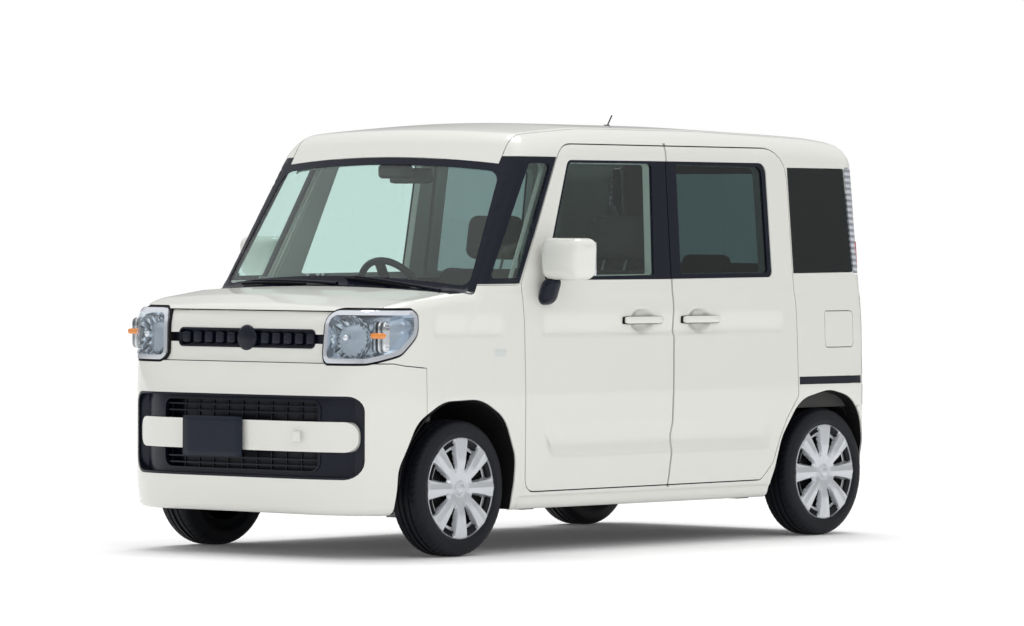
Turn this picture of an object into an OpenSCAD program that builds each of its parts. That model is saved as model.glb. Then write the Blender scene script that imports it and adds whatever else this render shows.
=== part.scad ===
// Tall kei-class wagon: hollow cabin, hinged front doors, hood and tailgate,
// steered front wheels, fixed sliding rear doors.
// +Z is up, the nose points to -Y, the car's left side is +X.
// The origin is on the ground under the middle of the body.

/* [Overall size] */
// Length of the body, nose to tail
body_l = 3395; // [3200:5:3600]
// Width of the body without mirrors
body_w = 1475; // [1400:5:1600]
// Height of the roof above the ground
body_h = 1785; // [1700:5:1850]
// Height of the window line above the ground
belt_h = 1125; // [1080:5:1160]
// Height of the lower edge of the sills
sill_z = 180; // [160:5:220]

/* [Wheels] */
// Distance between the axles
wheel_base = 2460; // [2350:5:2520]
// Distance from the nose to the front axle
front_overhang = 590; // [560:5:640]
// Distance between the middles of the front tyres
track_front = 1295; // [1270:5:1305]
// Distance between the middles of the rear tyres
track_rear = 1300; // [1270:5:1305]
// Outer diameter of a tyre
tyre_d = 557; // [530:1:570]
// Width of a tyre
tyre_w = 155; // [145:1:165]
// Diameter of the rim where the tyre seats
rim_d = 356; // [330:1:380]
// Radius of the front wheel arches
front_arch_r = 355; // [340:5:380]
// Radius of the rear wheel arches
rear_arch_r = 335; // [320:5:345]
// Radius of a wheel spindle
spindle_r = 16; // [12:1:20]

/* [Panels] */
// Thickness of doors and body sides
side_t = 60; // [45:1:70]
// Thickness of the roof with its lining
roof_t = 40; // [30:1:50]
// Thickness of fenders and bumpers
skin_t = 8; // [5:1:12]
// Thickness of the hood with its frame
hood_t = 22; // [15:1:30]
// Thickness of the window glass
glass_t = 5; // [4:0.5:6]
// Gap between neighbouring panels
gap = 6; // [5:1:8]
// Gap behind the rear edge of a front door, which swings past it
swing_gap = 15; // [14:1:20]
// Gap at a hinged edge
hinge_gap = 10; // [9:1:12]
// Radius of a hinge pin
pin_r = 4; // [3:0.5:4]

/* [Steering] */
// Distance of the driver's centre line from the middle of the car
driver_x = 345; // [320:5:370]
// Diameter of the steering wheel
steering_wheel_d = 370; // [350:5:390]
// Slope of the steering column from the horizontal
column_angle = 28; // [24:1:34]
// Clearance of a spindle or pin in its bore
running_gap = 0.05; // [0.03:0.01:0.1]

/* [Cabin] */
// Width of a front seat
seat_w = 500; // [460:5:520]
// Height of the cabin floor above the ground
floor_z = 330; // [310:5:350]
// Height of the luggage floor above the ground
luggage_z = 560; // [540:5:600]
// Thickness of the floor
floor_t = 40; // [30:1:50]

/* [Hidden] */
$fn = 64;

half_l = body_l / 2;
half_w = body_w / 2;
far = 4000;                      // reaches past the whole car
axle_z = tyre_d / 2;
front_axle_y = front_overhang - half_l;
rear_axle_y = front_axle_y + wheel_base;

// Stations along the car, measured from its ends
cowl_y = 557.5 - half_l;         // rear edge of the hood
door_front_y = 967.5 - half_l;   // front edge of a front door
bumper_seam_y = 360 - half_l;    // seam of bumper and fender
lamp_rear_y = 260 - half_l;      // rear tip of a headlight
tail_y = half_l - 95;            // front edge of the tailgate
tail_bumper_y = half_l - 135;    // front edge of the rear bumper
door_split_y = 240;              // front and rear door at the sill
door_lean = 60;                  // how much further back it is at the roof
slide_rear_y = rear_axle_y - 205; // rear edge of a sliding door

// Heights
hood_z = belt_h - 30;            // rear edge of the hood
nose_top_z = hood_z - 105;       // front edge of the hood
lamp_low_z = nose_top_z - 200;   // lower edge of the headlights
door_low_z = sill_z + 70;        // lower edge of the doors
door_top_z = body_h - 99;        // upper edge of the doors
bumper_top_z = 565;              // upper edge of the rear bumper
glass_low_z = belt_h + 12;
glass_top_z = door_top_z - 78;

// Widths
roof_seam_x = half_w - 161;      // seam of roof and body side
hood_side_x = half_w - 97;       // side edge of the hood
tail_x = half_w - 97;            // side edge of the tailgate
lamp_x = half_w - 308;           // inner edge of a headlight

// Windshield: part of a leaning cylinder
shield_lean = 57.5;              // slope from the horizontal
shield_r = 3100;                 // its bend across the car
shield_foot_y = cowl_y + 41;     // middle of its foot
shield_foot_z = hood_z - 10;
shield_len = 690;

// ---- Outlines ----------------------------------------------------------

// Plan of the body: nose and tail are bulged curves of the given squareness
function bulge(u, power) = pow(1 - pow(u, power), 1 / power);
function nose_curve(t) = [for (i = [-12:12])
  let (u = sin(i * 7.5)) [u * (half_w - t),
    -(half_l - 497.5) - (497.5 - t) * bulge(abs(u), 3.5)]];
function tail_curve(t) = [for (i = [12:-1:-12])
  let (u = sin(i * 7.5)) [u * (half_w - t),
    (half_l - 120) + (120 - t) * bulge(abs(u), 3)]];

module plan_prism(t) {
  linear_extrude(far) polygon(concat(nose_curve(t), tail_curve(t)));
}

// Cross-section: columns are half width and height
function section_side(tx, tz) = [
  [half_w - 22 - tx, sill_z - 2],
  [half_w - 2 - tx, sill_z + 120],
  [half_w - tx, 650],
  [half_w - 9 - tx, 950],
  [half_w - 26 - tx, belt_h],
  [half_w - 82 - tx, door_top_z],
  [half_w - 128 - tx, body_h - 52 - tz],
  [half_w - 300 - tx, body_h - 14 - tz],
  [half_w - 520 - tx, body_h - tz]
];
function flip_x(points) = [for (i = [len(points) - 1:-1:0]) [-points[i].x, points[i].y]];

module section_prism(tx, tz) {
  side = section_side(tx, tz);
  translate([0, far / 2, 0]) rotate([90, 0, 0])
    linear_extrude(far) polygon(concat(side, flip_x(side)));
}

// A side-view outline, points as [y, z], pushed through from x1 to x2
module side_prism(points, x1, x2) {
  translate([x1, 0, 0]) rotate([90, 0, 90])
    linear_extrude(x2 - x1) polygon(points);
}

// The same on both sides of the car
module both_sides(points, x1, x2) {
  side_prism(points, x1, x2);
  side_prism(points, -x2, -x1);
}

module mirror_copy() {
  children();
  mirror([1, 0, 0]) children();
}

// Everything behind the windshield's outer face, sunk by t
module behind_windshield(t) {
  translate([0, shield_foot_y, shield_foot_z])
    rotate([shield_lean - 90, 0, 0]) translate([0, 0, -700])
      linear_extrude(far) intersection() {
        translate([0, shield_r + t]) circle(shield_r, $fn = 512);
        translate([-far / 2, 0]) square([far, 2600]);
      }
}

// Front half of the side view up to the hood, sunk by t
module nose_prism(t) {
  side_prism([
    [30 - half_l + t, sill_z + 20], [t - half_l, sill_z + 130],
    [t - half_l, 560], [17 - half_l + t, 680],
    [57 - half_l + t, lamp_low_z - 20], [73 - half_l + t, lamp_low_z + 5],
    [80 - half_l + t, nose_top_z - 50], [97 - half_l + t, nose_top_z - t * 0.6],
    [137 - half_l + t, nose_top_z + 32 - t], [297 - half_l, nose_top_z + 72 - t],
    [cowl_y, hood_z - t], [half_l - t, hood_z - t], [half_l - t, sill_z - 2],
    [350 - half_l, sill_z - 2]
  ], -half_w, half_w);
}

// Cabin half of the side view, sunk by t at the tail and tz at the roof
module cabin_prism(t, tz) {
  side_prism([
    [shield_foot_y - 20, hood_z - 60], [shield_foot_y - 20, body_h + 40 - tz],
    [-560, body_h + 40 - tz], [-560, body_h - 28 - tz], [-200, body_h - tz],
    [600, body_h - tz], [tail_y - 200, body_h - 22 - tz],
    [tail_y + 40 - t / 2, body_h - 48 - tz], [half_l - 22 - t, body_h - 150 - tz],
    [half_l - 12 - t, belt_h], [half_l - t, bumper_top_z], [half_l - t, sill_z + 60],
    [half_l - 30 - t, sill_z - 2], [-500, sill_z - 2], [-500, hood_z - 60]
  ], -half_w, half_w);
}

// The whole outer form, sunk by tx at sides and ends, by tz at the roof
module body_form(tx, tz) {
  intersection() {
    section_prism(tx, tz);
    plan_prism(tx);
    union() {
      nose_prism(tx);
      intersection() {
        cabin_prism(tx, tz);
        behind_windshield(tx);
      }
    }
  }
}

module wall(tx, tz) {
  difference() {
    body_form(0, 0);
    body_form(tx, tz);
  }
}

// Door outlines in side view, grown by g and at the hinged edge by h
function front_door_outline(g, h) = [
  [door_front_y + 75 - g / 2, door_low_z - g], [door_front_y - h, door_low_z + 80],
  [door_front_y - h, belt_h - 25], [door_front_y + 17 - g, belt_h + 2],
  [door_front_y + 294 - g, door_top_z - 61], [door_front_y + 400 - g, door_top_z + g],
  [door_split_y + door_lean - 5 + g, door_top_z + g],
  [door_split_y - 5 + g, door_low_z - g]
];
function slide_door_outline(g) = [
  [door_split_y + swing_gap - g - 5, door_low_z - g],
  [door_split_y + door_lean + swing_gap - g - 5, door_top_z + g],
  [slide_rear_y - 170 + g, door_top_z + g], [slide_rear_y - 85 + g, door_top_z - 15 + g],
  [slide_rear_y - 38 + g, door_top_z - 55 + g], [slide_rear_y - 18 + g, door_top_z - 120],
  [slide_rear_y - 8 + g, belt_h], [slide_rear_y - 13 + g, 640],
  [rear_axle_y - rear_arch_r - 60 + g, 420], [slide_rear_y - 265 + g, door_low_z - g]
];

// Window openings in side view
front_pane = [
  [door_front_y + 188, glass_low_z], [door_front_y + 385, glass_top_z],
  [door_split_y - 40, glass_top_z], [door_split_y - 85, glass_low_z]
];
corner_pane = [
  [door_front_y - 195, glass_low_z], [door_front_y + 70, glass_top_z - 50],
  [door_front_y + 225, glass_top_z - 50], [door_front_y - 12, glass_low_z]
];
slide_pane = [
  [door_split_y + 132, glass_low_z], [door_split_y + 138, glass_top_z],
  [slide_rear_y - 186, glass_top_z], [slide_rear_y - 193, glass_low_z]
];
rear_pane = [
  [slide_rear_y + 22, glass_low_z], [slide_rear_y + 18, glass_top_z],
  [tail_y - 60, glass_top_z], [tail_y - 50, glass_low_z]
];

// A pane of glass lying in the wall under its outer face
module side_pane(points, side) {
  depth = 8;
  intersection() {
    difference() {
      body_form(depth, depth);
      body_form(depth + glass_t, depth + glass_t);
    }
    side_prism(points, side > 0 ? 300 : -half_w, side > 0 ? half_w : -300);
  }
}

module window_cut(points) {
  both_sides(points, 300, half_w + 10);
}

// Arch cut through a side wall
module arch_cut(y, r) {
  translate([-half_w - 20, y, axle_z]) rotate([0, 90, 0]) cylinder(h = body_w + 40, r = r);
}

// ---- Hinges ------------------------------------------------------------
// Each lies along its own X axis: a pin on a slanted arm of the fixed piece,
// in a bore and a wedge-shaped notch of the moving piece.

door_opening = 65;
hood_opening = 60;
tail_opening = 80;
lid_opening = 85;
hinge_w = 30;
door_arm_angle = 135;
hood_arm_angle = 315;
tail_arm_angle = 225;
hinge_seat = 12;                 // length of pin in the bore at each end

module hinge_arm(angle, reach) {
  rotate([0, 90, 0]) translate([0, 0, -hinge_w / 2 - hinge_seat])
    cylinder(h = hinge_w + 2 * hinge_seat, r = pin_r);
  rotate([angle, 0, 0]) translate([-hinge_w / 2, 0, -3]) cube([hinge_w, reach, 6]);
}

module hinge_notch(angle, sweep, reach) {
  half_slot = 3.8;               // half the width of the arm's slot
  rotate([0, 90, 0]) translate([0, 0, -hinge_w / 2 - hinge_seat - 1])
    cylinder(h = hinge_w + 2 * hinge_seat + 2, r = pin_r + running_gap);
  rotate([90, 0, 90]) translate([0, 0, -hinge_w / 2 - 2]) linear_extrude(hinge_w + 4) {
    circle(pin_r + 1.2);
    polygon(concat([[0, 0]], [for (k = [0:2])
      let (a = angle + k * sweep / 2) reach * 1.2 * [cos(a), sin(a)]]));
    for (a = [angle, angle + sweep]) rotate(a)
      translate([0, -half_slot]) square([reach, 2 * half_slot]);
  }
}

hood_hinge_y = cowl_y - 7;
hood_hinge_z = hood_z - 7;
tail_hinge_y = tail_y + 8;
tail_hinge_z = body_h - 56;
door_hinge_x = half_w - 10;
door_hinge_y = door_front_y + 8;
door_hinge_heights = [570, 790];

module at_hood_hinges() {
  for (x = [-460, 460]) translate([x, hood_hinge_y, hood_hinge_z]) children();
}

module at_tail_hinges() {
  for (x = [-330, 330]) translate([x, tail_hinge_y, tail_hinge_z]) children();
}

// The left door's hinges stand upright, so their X axis points up
module at_door_hinges() {
  for (z = door_hinge_heights) translate([door_hinge_x, door_hinge_y, z])
    rotate([0, -90, 0]) children();
}

// ---- Fixed body --------------------------------------------------------

house_x = 400;                    // inner wall of a front wheel house
seat_gap = 0.3;                   // between a piece and its seat on another
cowl_low_z = hood_z - 70;         // underside of the cowl
kick_y = rear_axle_y - 325;       // step up to the luggage floor
hinge_post_z = 490;               // foot of the posts that carry the door hinges

toe_y = front_axle_y + front_arch_r + 11;
toe_t = 6;                        // thickness of the toe board
jack_pad_y = [-600, 860];           // middle of each jack pad
jack_pad_h = 6;
shelf_z = 700;
bulkhead_y = cowl_y + 125;
tub_x = half_w - side_t - 137;    // inner wall of a rear tub
// Steering axis of the left wheel: it leans inwards by the strut's angle
king_low_x = track_front / 2 - 63;
king_low_z = 180;
king_lean = 8;
strut_len = 690;

module on_king_pin() {
  translate([king_low_x, front_axle_y, king_low_z]) rotate([0, -king_lean, 0]) children();
}

// Half-round liner and inner wall of the left front wheel house
module front_house() {
  intersection() {
    difference() {
      union() {
        translate([house_x - 8, front_axle_y - 325, 300])
          cube([8, bulkhead_y + 10 - front_axle_y + 325, 600]);
        translate([house_x - 8, front_axle_y - 325, 300])
          cube([8, toe_y - front_axle_y + 325, shelf_z - 300]);
        translate([house_x - 8, front_axle_y, axle_z]) rotate([0, 90, 0])
          cylinder(h = half_w - house_x, r = front_arch_r + 12);
      }
      translate([house_x, front_axle_y, axle_z]) rotate([0, 90, 0])
        cylinder(h = 600, r = front_arch_r + 6);
      translate([house_x - 20, front_axle_y - far / 2, -100]) cube([600, far, 400]);
      on_king_pin() cylinder(h = strut_len + 100, r = 75);
    }
    body_form(skin_t + seat_gap, skin_t + seat_gap);
  }
}

// Hat over the strut, joined to the inner wall
module strut_tower() {
  difference() {
    on_king_pin() translate([0, 0, strut_len - 262]) cylinder(h = 262, r = 81);
    on_king_pin() translate([0, 0, strut_len - 300]) cylinder(h = 290, r = 74);
    on_king_pin() translate([0, 0, strut_len - 20]) cylinder(h = 60, r = 12 + running_gap);
  }
}

module rear_tub() {
  difference() {
    translate([tub_x, rear_axle_y, axle_z]) rotate([0, 90, 0])
      cylinder(h = half_w - tub_x, r = rear_arch_r);
    translate([tub_x + 6, rear_axle_y, axle_z]) rotate([0, 90, 0])
      cylinder(h = 300, r = rear_arch_r - 6);
    translate([0, rear_axle_y - 500, -300]) cube([half_w, 1000, 300 + floor_z - floor_t]);
    // the axle arm passes under the inner wall
    translate([tub_x - 10, rear_axle_y - 300, 0]) cube([30, 600, 400]);
  }
}

module cabin_floor() {
  wide = body_w - 2 * skin_t;
  translate([-wide / 2, toe_y, floor_z - floor_t])
    cube([wide, kick_y + 40 - toe_y, floor_t]);
  translate([-wide / 2, kick_y, floor_z - floor_t])
    cube([wide, 40, luggage_z - floor_z + floor_t]);
  // boxed sills under the doors
  mirror_copy() translate([half_w - side_t - 90, toe_y, sill_z])
    cube([90, rear_axle_y - rear_arch_r - 30 - toe_y, floor_z - sill_z]);
}

// Pads for the jack under the sills
module jack_pads() {
  mirror_copy() for (y = jack_pad_y)
    translate([half_w - side_t - 87.5, y - 40, sill_z - jack_pad_h])
      cube([60, 80, jack_pad_h + 1]);
}

module luggage_floor() {
  difference() {
    translate([-half_w, kick_y, luggage_z - floor_t])
      cube([body_w, half_l - kick_y, floor_t]);
    arch_cut(rear_axle_y, rear_arch_r - 3);
  }
  translate([-tub_x, kick_y, luggage_z - floor_t]) cube([2 * tub_x, 650, floor_t]);
}

module front_frame() {
  // toe board, shelf under the dashboard, and bulkhead
  intersection() {
    union() {
      translate([30 - half_w, toe_y, floor_z - floor_t])
        cube([body_w - 60, toe_t, shelf_z + floor_t - floor_z]);
      translate([30 - half_w, bulkhead_y, shelf_z])
        cube([body_w - 60, toe_y - bulkhead_y + toe_t, 10]);
      translate([-640, bulkhead_y, shelf_z]) cube([1280, 10, cowl_low_z - shelf_z]);
      // posts that carry the door hinges
      mirror_copy() translate([half_w - 82, door_front_y - 70, hinge_post_z])
        cube([62, 58, belt_h - 22 - hinge_post_z]);
    }
    body_form(skin_t + seat_gap, skin_t + seat_gap);
  }
  // front rails, bumper beam, and the uprights between them and the lamps
  mirror_copy() {
    translate([house_x - 50, 180 - half_l, 400]) cube([42, toe_y - 180 + half_l, 90]);
    translate([house_x - 50, 135 - half_l, 400]) cube([42, 46, lamp_low_z + 40 - 400]);
  }
  translate([-560, 135 - half_l, 390]) cube([1120, 50, 110]);
  // carriers right behind bumper, front panel and headlights
  intersection() {
    translate([-house_x + 8, -half_l, lamp_low_z - 105]) cube([2 * house_x - 16, 181, 25]);
    body_form(skin_t + seat_gap, skin_t + seat_gap);
  }
  intersection() {
    translate([-house_x + 8, -half_l, lamp_low_z + 8]) cube([2 * house_x - 16, 181, 30]);
    body_form(30 + seat_gap, 30 + seat_gap);
  }
  intersection() {
    translate([-620, 145 - half_l, lamp_low_z + 8]) cube([1240, 36, 30]);
    body_form(75 + seat_gap, 75 + seat_gap);
  }
}

module underbody() color("dimgray") {
  difference() {
    union() {
      // beside the sills and sliding doors the floor is seated, but it
      // stays clear of the front doors
      intersection() {
        cabin_floor();
        union() {
          body_form(side_t + gap, side_t);
          intersection() {
            body_form(side_t + seat_gap, side_t);
            union() {
              translate([-half_w, -half_l, 0]) cube([body_w, body_l, door_low_z - gap]);
              translate([-half_w, door_split_y + 90, 0]) cube([body_w, body_l, luggage_z + 10]);
            }
          }
        }
      }
      intersection() {
        union() {
          intersection() {
            luggage_floor();
            translate([-half_w, 0, 0]) cube([body_w, tail_y, luggage_z]);
          }
          mirror_copy() rear_tub();
        }
        body_form(side_t + seat_gap, side_t);
      }
      intersection() {
        luggage_floor();
        body_form(2 * skin_t + seat_gap, side_t);
        translate([-tub_x, tail_y - 10, 0]) cube([2 * tub_x, 400, luggage_z]);
      }
      jack_pads();
      front_frame();
      mirror_copy() front_house();
      mirror_copy() strut_tower();
    }
  }
  mirror_copy() at_door_hinges() hinge_arm(door_arm_angle, 30);
}

module roof() color("ivory") {
  intersection() {
    wall(side_t, roof_t);
    translate([-roof_seam_x, shield_foot_y, door_top_z - 90])
      cube([2 * roof_seam_x, tail_y - hinge_gap - shield_foot_y, 400]);
    behind_roof_edge();
  }
  at_tail_hinges() hinge_arm(tail_arm_angle, 30);
}

// Everything behind the upper edge of the windshield
module behind_roof_edge() {
  translate([0, shield_foot_y, shield_foot_z]) rotate([shield_lean - 90, 0, 0])
    translate([-far / 2, -500, shield_len + 4]) cube([far, far, far]);
}

// Windshield outline in its own plane, grown by g
module shield_outline(g) {
  foot = half_w - 72;
  polygon(concat(
    [for (i = [-4:4]) [i / 4 * (foot + g), 12 + pow(foot * i / 4, 2) / (2 * shield_r) * 0.64 - g]],
    [[roof_seam_x + 6 + g, shield_len + g], [-roof_seam_x - 6 - g, shield_len + g]]
  ));
}

module shield_block(g) {
  translate([0, shield_foot_y, shield_foot_z]) rotate([shield_lean, 0, 0])
    translate([0, 0, -120]) linear_extrude(240) shield_outline(g);
}

module windshield() color("lightseagreen", 0.4) {
  intersection() {
    difference() {
      behind_windshield(2);
      behind_windshield(2 + glass_t);
    }
    shield_block(0);
  }
}

side_region = [
  [shield_foot_y - 20, belt_h - 22], [shield_foot_y - 20, far / 2],
  [half_l + 20, far / 2], [half_l + 20, bumper_top_z + gap],
  [tail_bumper_y - gap, bumper_top_z + gap], [tail_bumper_y - gap, sill_z - 10],
  [door_front_y + 4, sill_z - 10], [door_front_y + 4, belt_h - 22]
];

fuel_y = rear_axle_y - 18;        // front edge of the fuel lid
fuel_z = 822;
fuel_w = 208;
fuel_h = 160;
lid_hinge_x = half_w - 16;
lid_hinge_y = fuel_y + 8;
lid_pin_r = 2.5;

module side_frame(side) {
  difference() {
    intersection() {
      wall(side_t, roof_t);
      side_prism(side_region, side > 0 ? 0 : -half_w, side > 0 ? half_w : 0);
    }
    side_prism(front_door_outline(gap, hinge_gap), -half_w - 20, half_w + 20);
    side_prism(slide_door_outline(gap), -half_w - 20, half_w + 20);
    side_prism(corner_pane, -half_w - 20, half_w + 20);
    side_prism(rear_pane, -half_w - 20, half_w + 20);
    side_prism([[door_split_y - 5, door_low_z - gap],
      [door_split_y + door_lean - 5, door_top_z + gap],
      [door_split_y + door_lean + 20, door_top_z + gap],
      [door_split_y + 20, door_low_z - gap]], -half_w - 20, half_w + 20);
    arch_cut(rear_axle_y, rear_arch_r);
    // opening of roof, windshield and tailgate
    translate([-roof_seam_x - 0.5, -far / 2, door_top_z - 120])
      cube([2 * roof_seam_x + 1, far, 500]);
    shield_block(0.5);
    translate([-tail_x - gap, tail_y - gap, bumper_top_z - 100])
      cube([2 * tail_x + 2 * gap, far, far]);
    // inner corners behind the luggage space
    translate([-tail_x - gap, tail_y - side_t, -1]) cube([2 * tail_x + 2 * gap, far, far]);
    taillight_cut();
    if (side > 0) {
      translate([half_w - 50, fuel_y - gap - 3, fuel_z - gap])
        cube([100, fuel_w + 2 * gap + 3, fuel_h + 2 * gap]);
    }
  }
  if (side > 0) {
    // upright pin of the fuel lid, held above and below the pocket
    translate([lid_hinge_x, lid_hinge_y, fuel_z - gap - 2])
      cylinder(h = fuel_h + 2 * gap + 4, r = lid_pin_r);
  }
}

module side_frame_left() color("ivory") side_frame(1);
module side_frame_right() color("ivory") side_frame(-1);

module front_fenders() color("ivory") {
  outline = [[door_front_y - hinge_gap, sill_z], [door_front_y - hinge_gap, belt_h - 28],
    [cowl_y + 130, belt_h - 28], [-half_l, belt_h - 28], [-half_l, nose_top_z + 5],
    [lamp_rear_y + gap, nose_top_z + 5], [lamp_rear_y + gap, lamp_low_z + 3],
    [bumper_seam_y, lamp_low_z + 3], [bumper_seam_y, sill_z]];
  difference() {
    intersection() {
      wall(skin_t, skin_t);
      both_sides(outline, hood_side_x + gap, half_w);
    }
    arch_cut(front_axle_y, front_arch_r);
    // the windshield pillars stand here
    translate([-far / 2, shield_foot_y - 20, belt_h - 34]) cube([far, 80, 100]);
    shield_block(2);
  }
}

module front_bumper() color("ivory") {
  outline = [[-half_l - 10, sill_z], [-half_l - 10, lamp_low_z - 3],
    [bumper_seam_y - gap, lamp_low_z - 3], [bumper_seam_y - gap, sill_z]];
  difference() {
    intersection() {
      wall(skin_t, skin_t);
      side_prism(outline, -half_w, half_w);
    }
    // mouth of the lower grille, and the underside
    translate([-620, -half_l - 20, 325]) cube([1240, 200, 335]);
    translate([-600, -half_l + 60, sill_z - 20]) cube([1200, 600, 60]);
    arch_cut(front_axle_y, front_arch_r);
  }
  // cross bar in the mouth, behind the plate
  intersection() {
    difference() {
      body_form(skin_t, skin_t);
      body_form(30, 30);
    }
    translate([-650, -half_l, 432]) cube([1300, 200, 122]);
  }
}

module front_plate() color("midnightblue") {
  translate([-277, 3 - half_l, 402]) cube([330, 2, 165]);
  // its bracket on the cross bar
  difference() {
    translate([-200, 5 - half_l, 450]) cube([176, 10, 60]);
    body_form(skin_t, skin_t);
  }
}

module lower_grille() color("black") {
  difference() {
    intersection() {
      difference() {
        body_form(30, 30);
        body_form(42, 42);
      }
      translate([-619, -half_l, 326]) cube([1238, 220, 333]);
    }
    for (row = [0:4])
      translate([-540, -half_l, 342 + row * 66]) cube([1080, 300, 36]);
  }
}

module front_panel() color("ivory") {
  difference() {
    intersection() {
      wall(30, 30);
      translate([-lamp_x + 4, -half_l, lamp_low_z + 4])
        cube([2 * lamp_x - 8, 300, nose_top_z - lamp_low_z - 8]);
    }
    // slot of the slim grille
    translate([-374, -half_l, lamp_low_z + 56]) cube([748, 90, 78]);
  }
}

module headlights() color("lightsteelblue") {
  mirror_copy() intersection() {
    wall(75, 75);
    translate([lamp_x, -half_l, lamp_low_z])
      cube([half_w - lamp_x, lamp_rear_y + half_l, nose_top_z - lamp_low_z]);
  }
}

module taillight_cut() {
  mirror_copy() translate([tail_x + gap - 60, tail_y - 10, belt_h + 20])
    cube([400, 400, glass_top_z - belt_h - 20]);
}

module taillights() color("darkred") {
  mirror_copy() intersection() {
    wall(side_t, roof_t);
    translate([tail_x + gap + 1, tail_y - 9.5, belt_h + 20.5])
      cube([400, 400, glass_top_z - belt_h - 21]);
  }
}

module rear_bumper() color("ivory") {
  outline = [[tail_bumper_y, sill_z + 20], [tail_bumper_y, bumper_top_z],
    [half_l + 10, bumper_top_z], [half_l + 10, sill_z + 20]];
  difference() {
    intersection() {
      wall(skin_t * 2, skin_t * 2);
      side_prism(outline, -half_w, half_w);
    }
    arch_cut(rear_axle_y, rear_arch_r);
  }
}

module side_windows() color("dimgray", 0.5) {
  for (side = [-1, 1]) {
    side_pane(corner_pane, side);
    side_pane(slide_pane, side);
    side_pane(rear_pane, side);
  }
}

module sliding_doors() color("ivory") {
  difference() {
    intersection() {
      wall(side_t, roof_t);
      both_sides(slide_door_outline(0), 300, half_w);
    }
    window_cut(slide_pane);
    arch_cut(rear_axle_y, rear_arch_r + gap);
  }
}

module cowl() color("black") {
  front_y = cowl_y + gap + 2;
  difference() {
    side_prism([[front_y, cowl_low_z], [front_y, hood_z - 4],
      [shield_foot_y - 8, hood_z - 6], [bulkhead_y + 12, hood_z - 40],
      [bulkhead_y + 12, cowl_low_z]], -hood_side_x + 2, hood_side_x - 2);
    intersection() {
      behind_windshield(0);
      translate([-far / 2, -half_l, cowl_low_z + 15]) cube([far, far, far]);
    }
  }
  at_hood_hinges() hinge_arm(hood_arm_angle, 25);
}

module antenna() color("black") {
  difference() {
    union() {
      translate([15, 700, body_h - 10]) cylinder(h = 16, r = 13);
      translate([15, 700, body_h - 4]) rotate([-35, 0, 0]) cylinder(h = 62, r = 3);
    }
    body_form(0, 0);
  }
}

// ---- Cabin -------------------------------------------------------------

module front_seat() {
  // cushion on its box, back rest and head rest, all one padded form
  translate([-seat_w / 2, -190, floor_z]) cube([seat_w, 420, 160]);
  translate([-seat_w / 2, -250, floor_z + 160]) cube([seat_w, 540, 130]);
  translate([-seat_w / 2 + 10, 205, floor_z + 270]) rotate([-14, 0, 0])
    cube([seat_w - 20, 115, 620]);
  translate([-125, 352, floor_z + 830]) rotate([-10, 0, 0]) cube([250, 95, 220]);
}

module front_seats() color("#3b2f2a") {
  translate([driver_x, 0, 0]) front_seat();
  translate([-driver_x, 0, 0]) front_seat();
}

module rear_seats() color("#3b2f2a") {
  for (side = [-1, 1]) translate([side * 272, 0, 0]) {
    translate([-255, 640, floor_z]) cube([510, 340, 190]);
    translate([-265, 560, floor_z + 190]) cube([530, 460, 120]);
    translate([-262, 925, floor_z + 290]) rotate([-12, 0, 0]) cube([524, 90, 520]);
    translate([-110, 1035, floor_z + 770]) rotate([-12, 0, 0]) cube([220, 75, 150]);
  }
}

column_y = -303;
column_z = 1046;

module on_column() {
  translate([-driver_x, column_y, column_z]) rotate([column_angle - 90, 0, 0]) children();
}

module dashboard() color("#2a2625") {
  difference() {
    side_prism([[bulkhead_y + 13, shelf_z + 10], [bulkhead_y + 13, cowl_low_z - 8],
      [-700, hood_z - 76], [-590, hood_z - 110], [-560, hood_z - 230],
      [-610, shelf_z - 60], [toe_y + 12, shelf_z - 60], [toe_y + 12, shelf_z + 10]],
      -half_w + side_t + 28, half_w - side_t - 28);
    on_column() translate([0, 0, -400]) cylinder(h = 400, r = 12 + running_gap);
  }
  // bracket and shroud around the steering shaft
  difference() {
    on_column() translate([0, 0, -330]) cylinder(h = 260, r = 45);
    on_column() translate([0, 0, -400]) cylinder(h = 400, r = 12 + running_gap);
  }
}

module steering_wheel() color("#1d1c1c") {
  rim_r = 15;
  on_column() {
    rotate_extrude() translate([steering_wheel_d / 2 - rim_r, 0]) circle(rim_r);
    translate([0, 0, -50]) cylinder(h = 45, r = 62);
    translate([0, 0, -300]) cylinder(h = 255, r = 12);
    for (a = [0, 180, 270]) rotate([0, 0, a])
      translate([40, -22, -22]) cube([steering_wheel_d / 2 - rim_r - 45, 44, 16]);
  }
}

// ---- Running gear ------------------------------------------------------

module engine() color("gray") {
  translate([-320, front_axle_y - 300, 240]) cube([640, 480, 440]);
}

module front_suspension() color("dimgray") {
  // cross member, its arms to the floor, and the two lower arms
  difference() {
    union() {
      translate([-360, front_axle_y - 60, 190]) cube([720, 140, 50]);
      mirror_copy() {
        translate([250, front_axle_y + 70, 190]) cube([70, toe_y + 100 - front_axle_y - 70, 50]);
        translate([250, toe_y + 5, 235]) cube([70, 95, floor_z - floor_t - 235]);
        translate([250, front_axle_y - 240, 190]) cube([70, 190, 50]);
        translate([345, front_axle_y - 30, 150])
          cube([king_low_x - 345, 60, 22]);
        translate([345, front_axle_y - 30, 150]) cube([15, 60, 45]);
        translate([king_low_x, front_axle_y, 150]) cylinder(h = 22, r = 30);
        on_king_pin() translate([0, 0, -20]) cylinder(h = 40, r = 10);
      }
    }
  }
}

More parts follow.
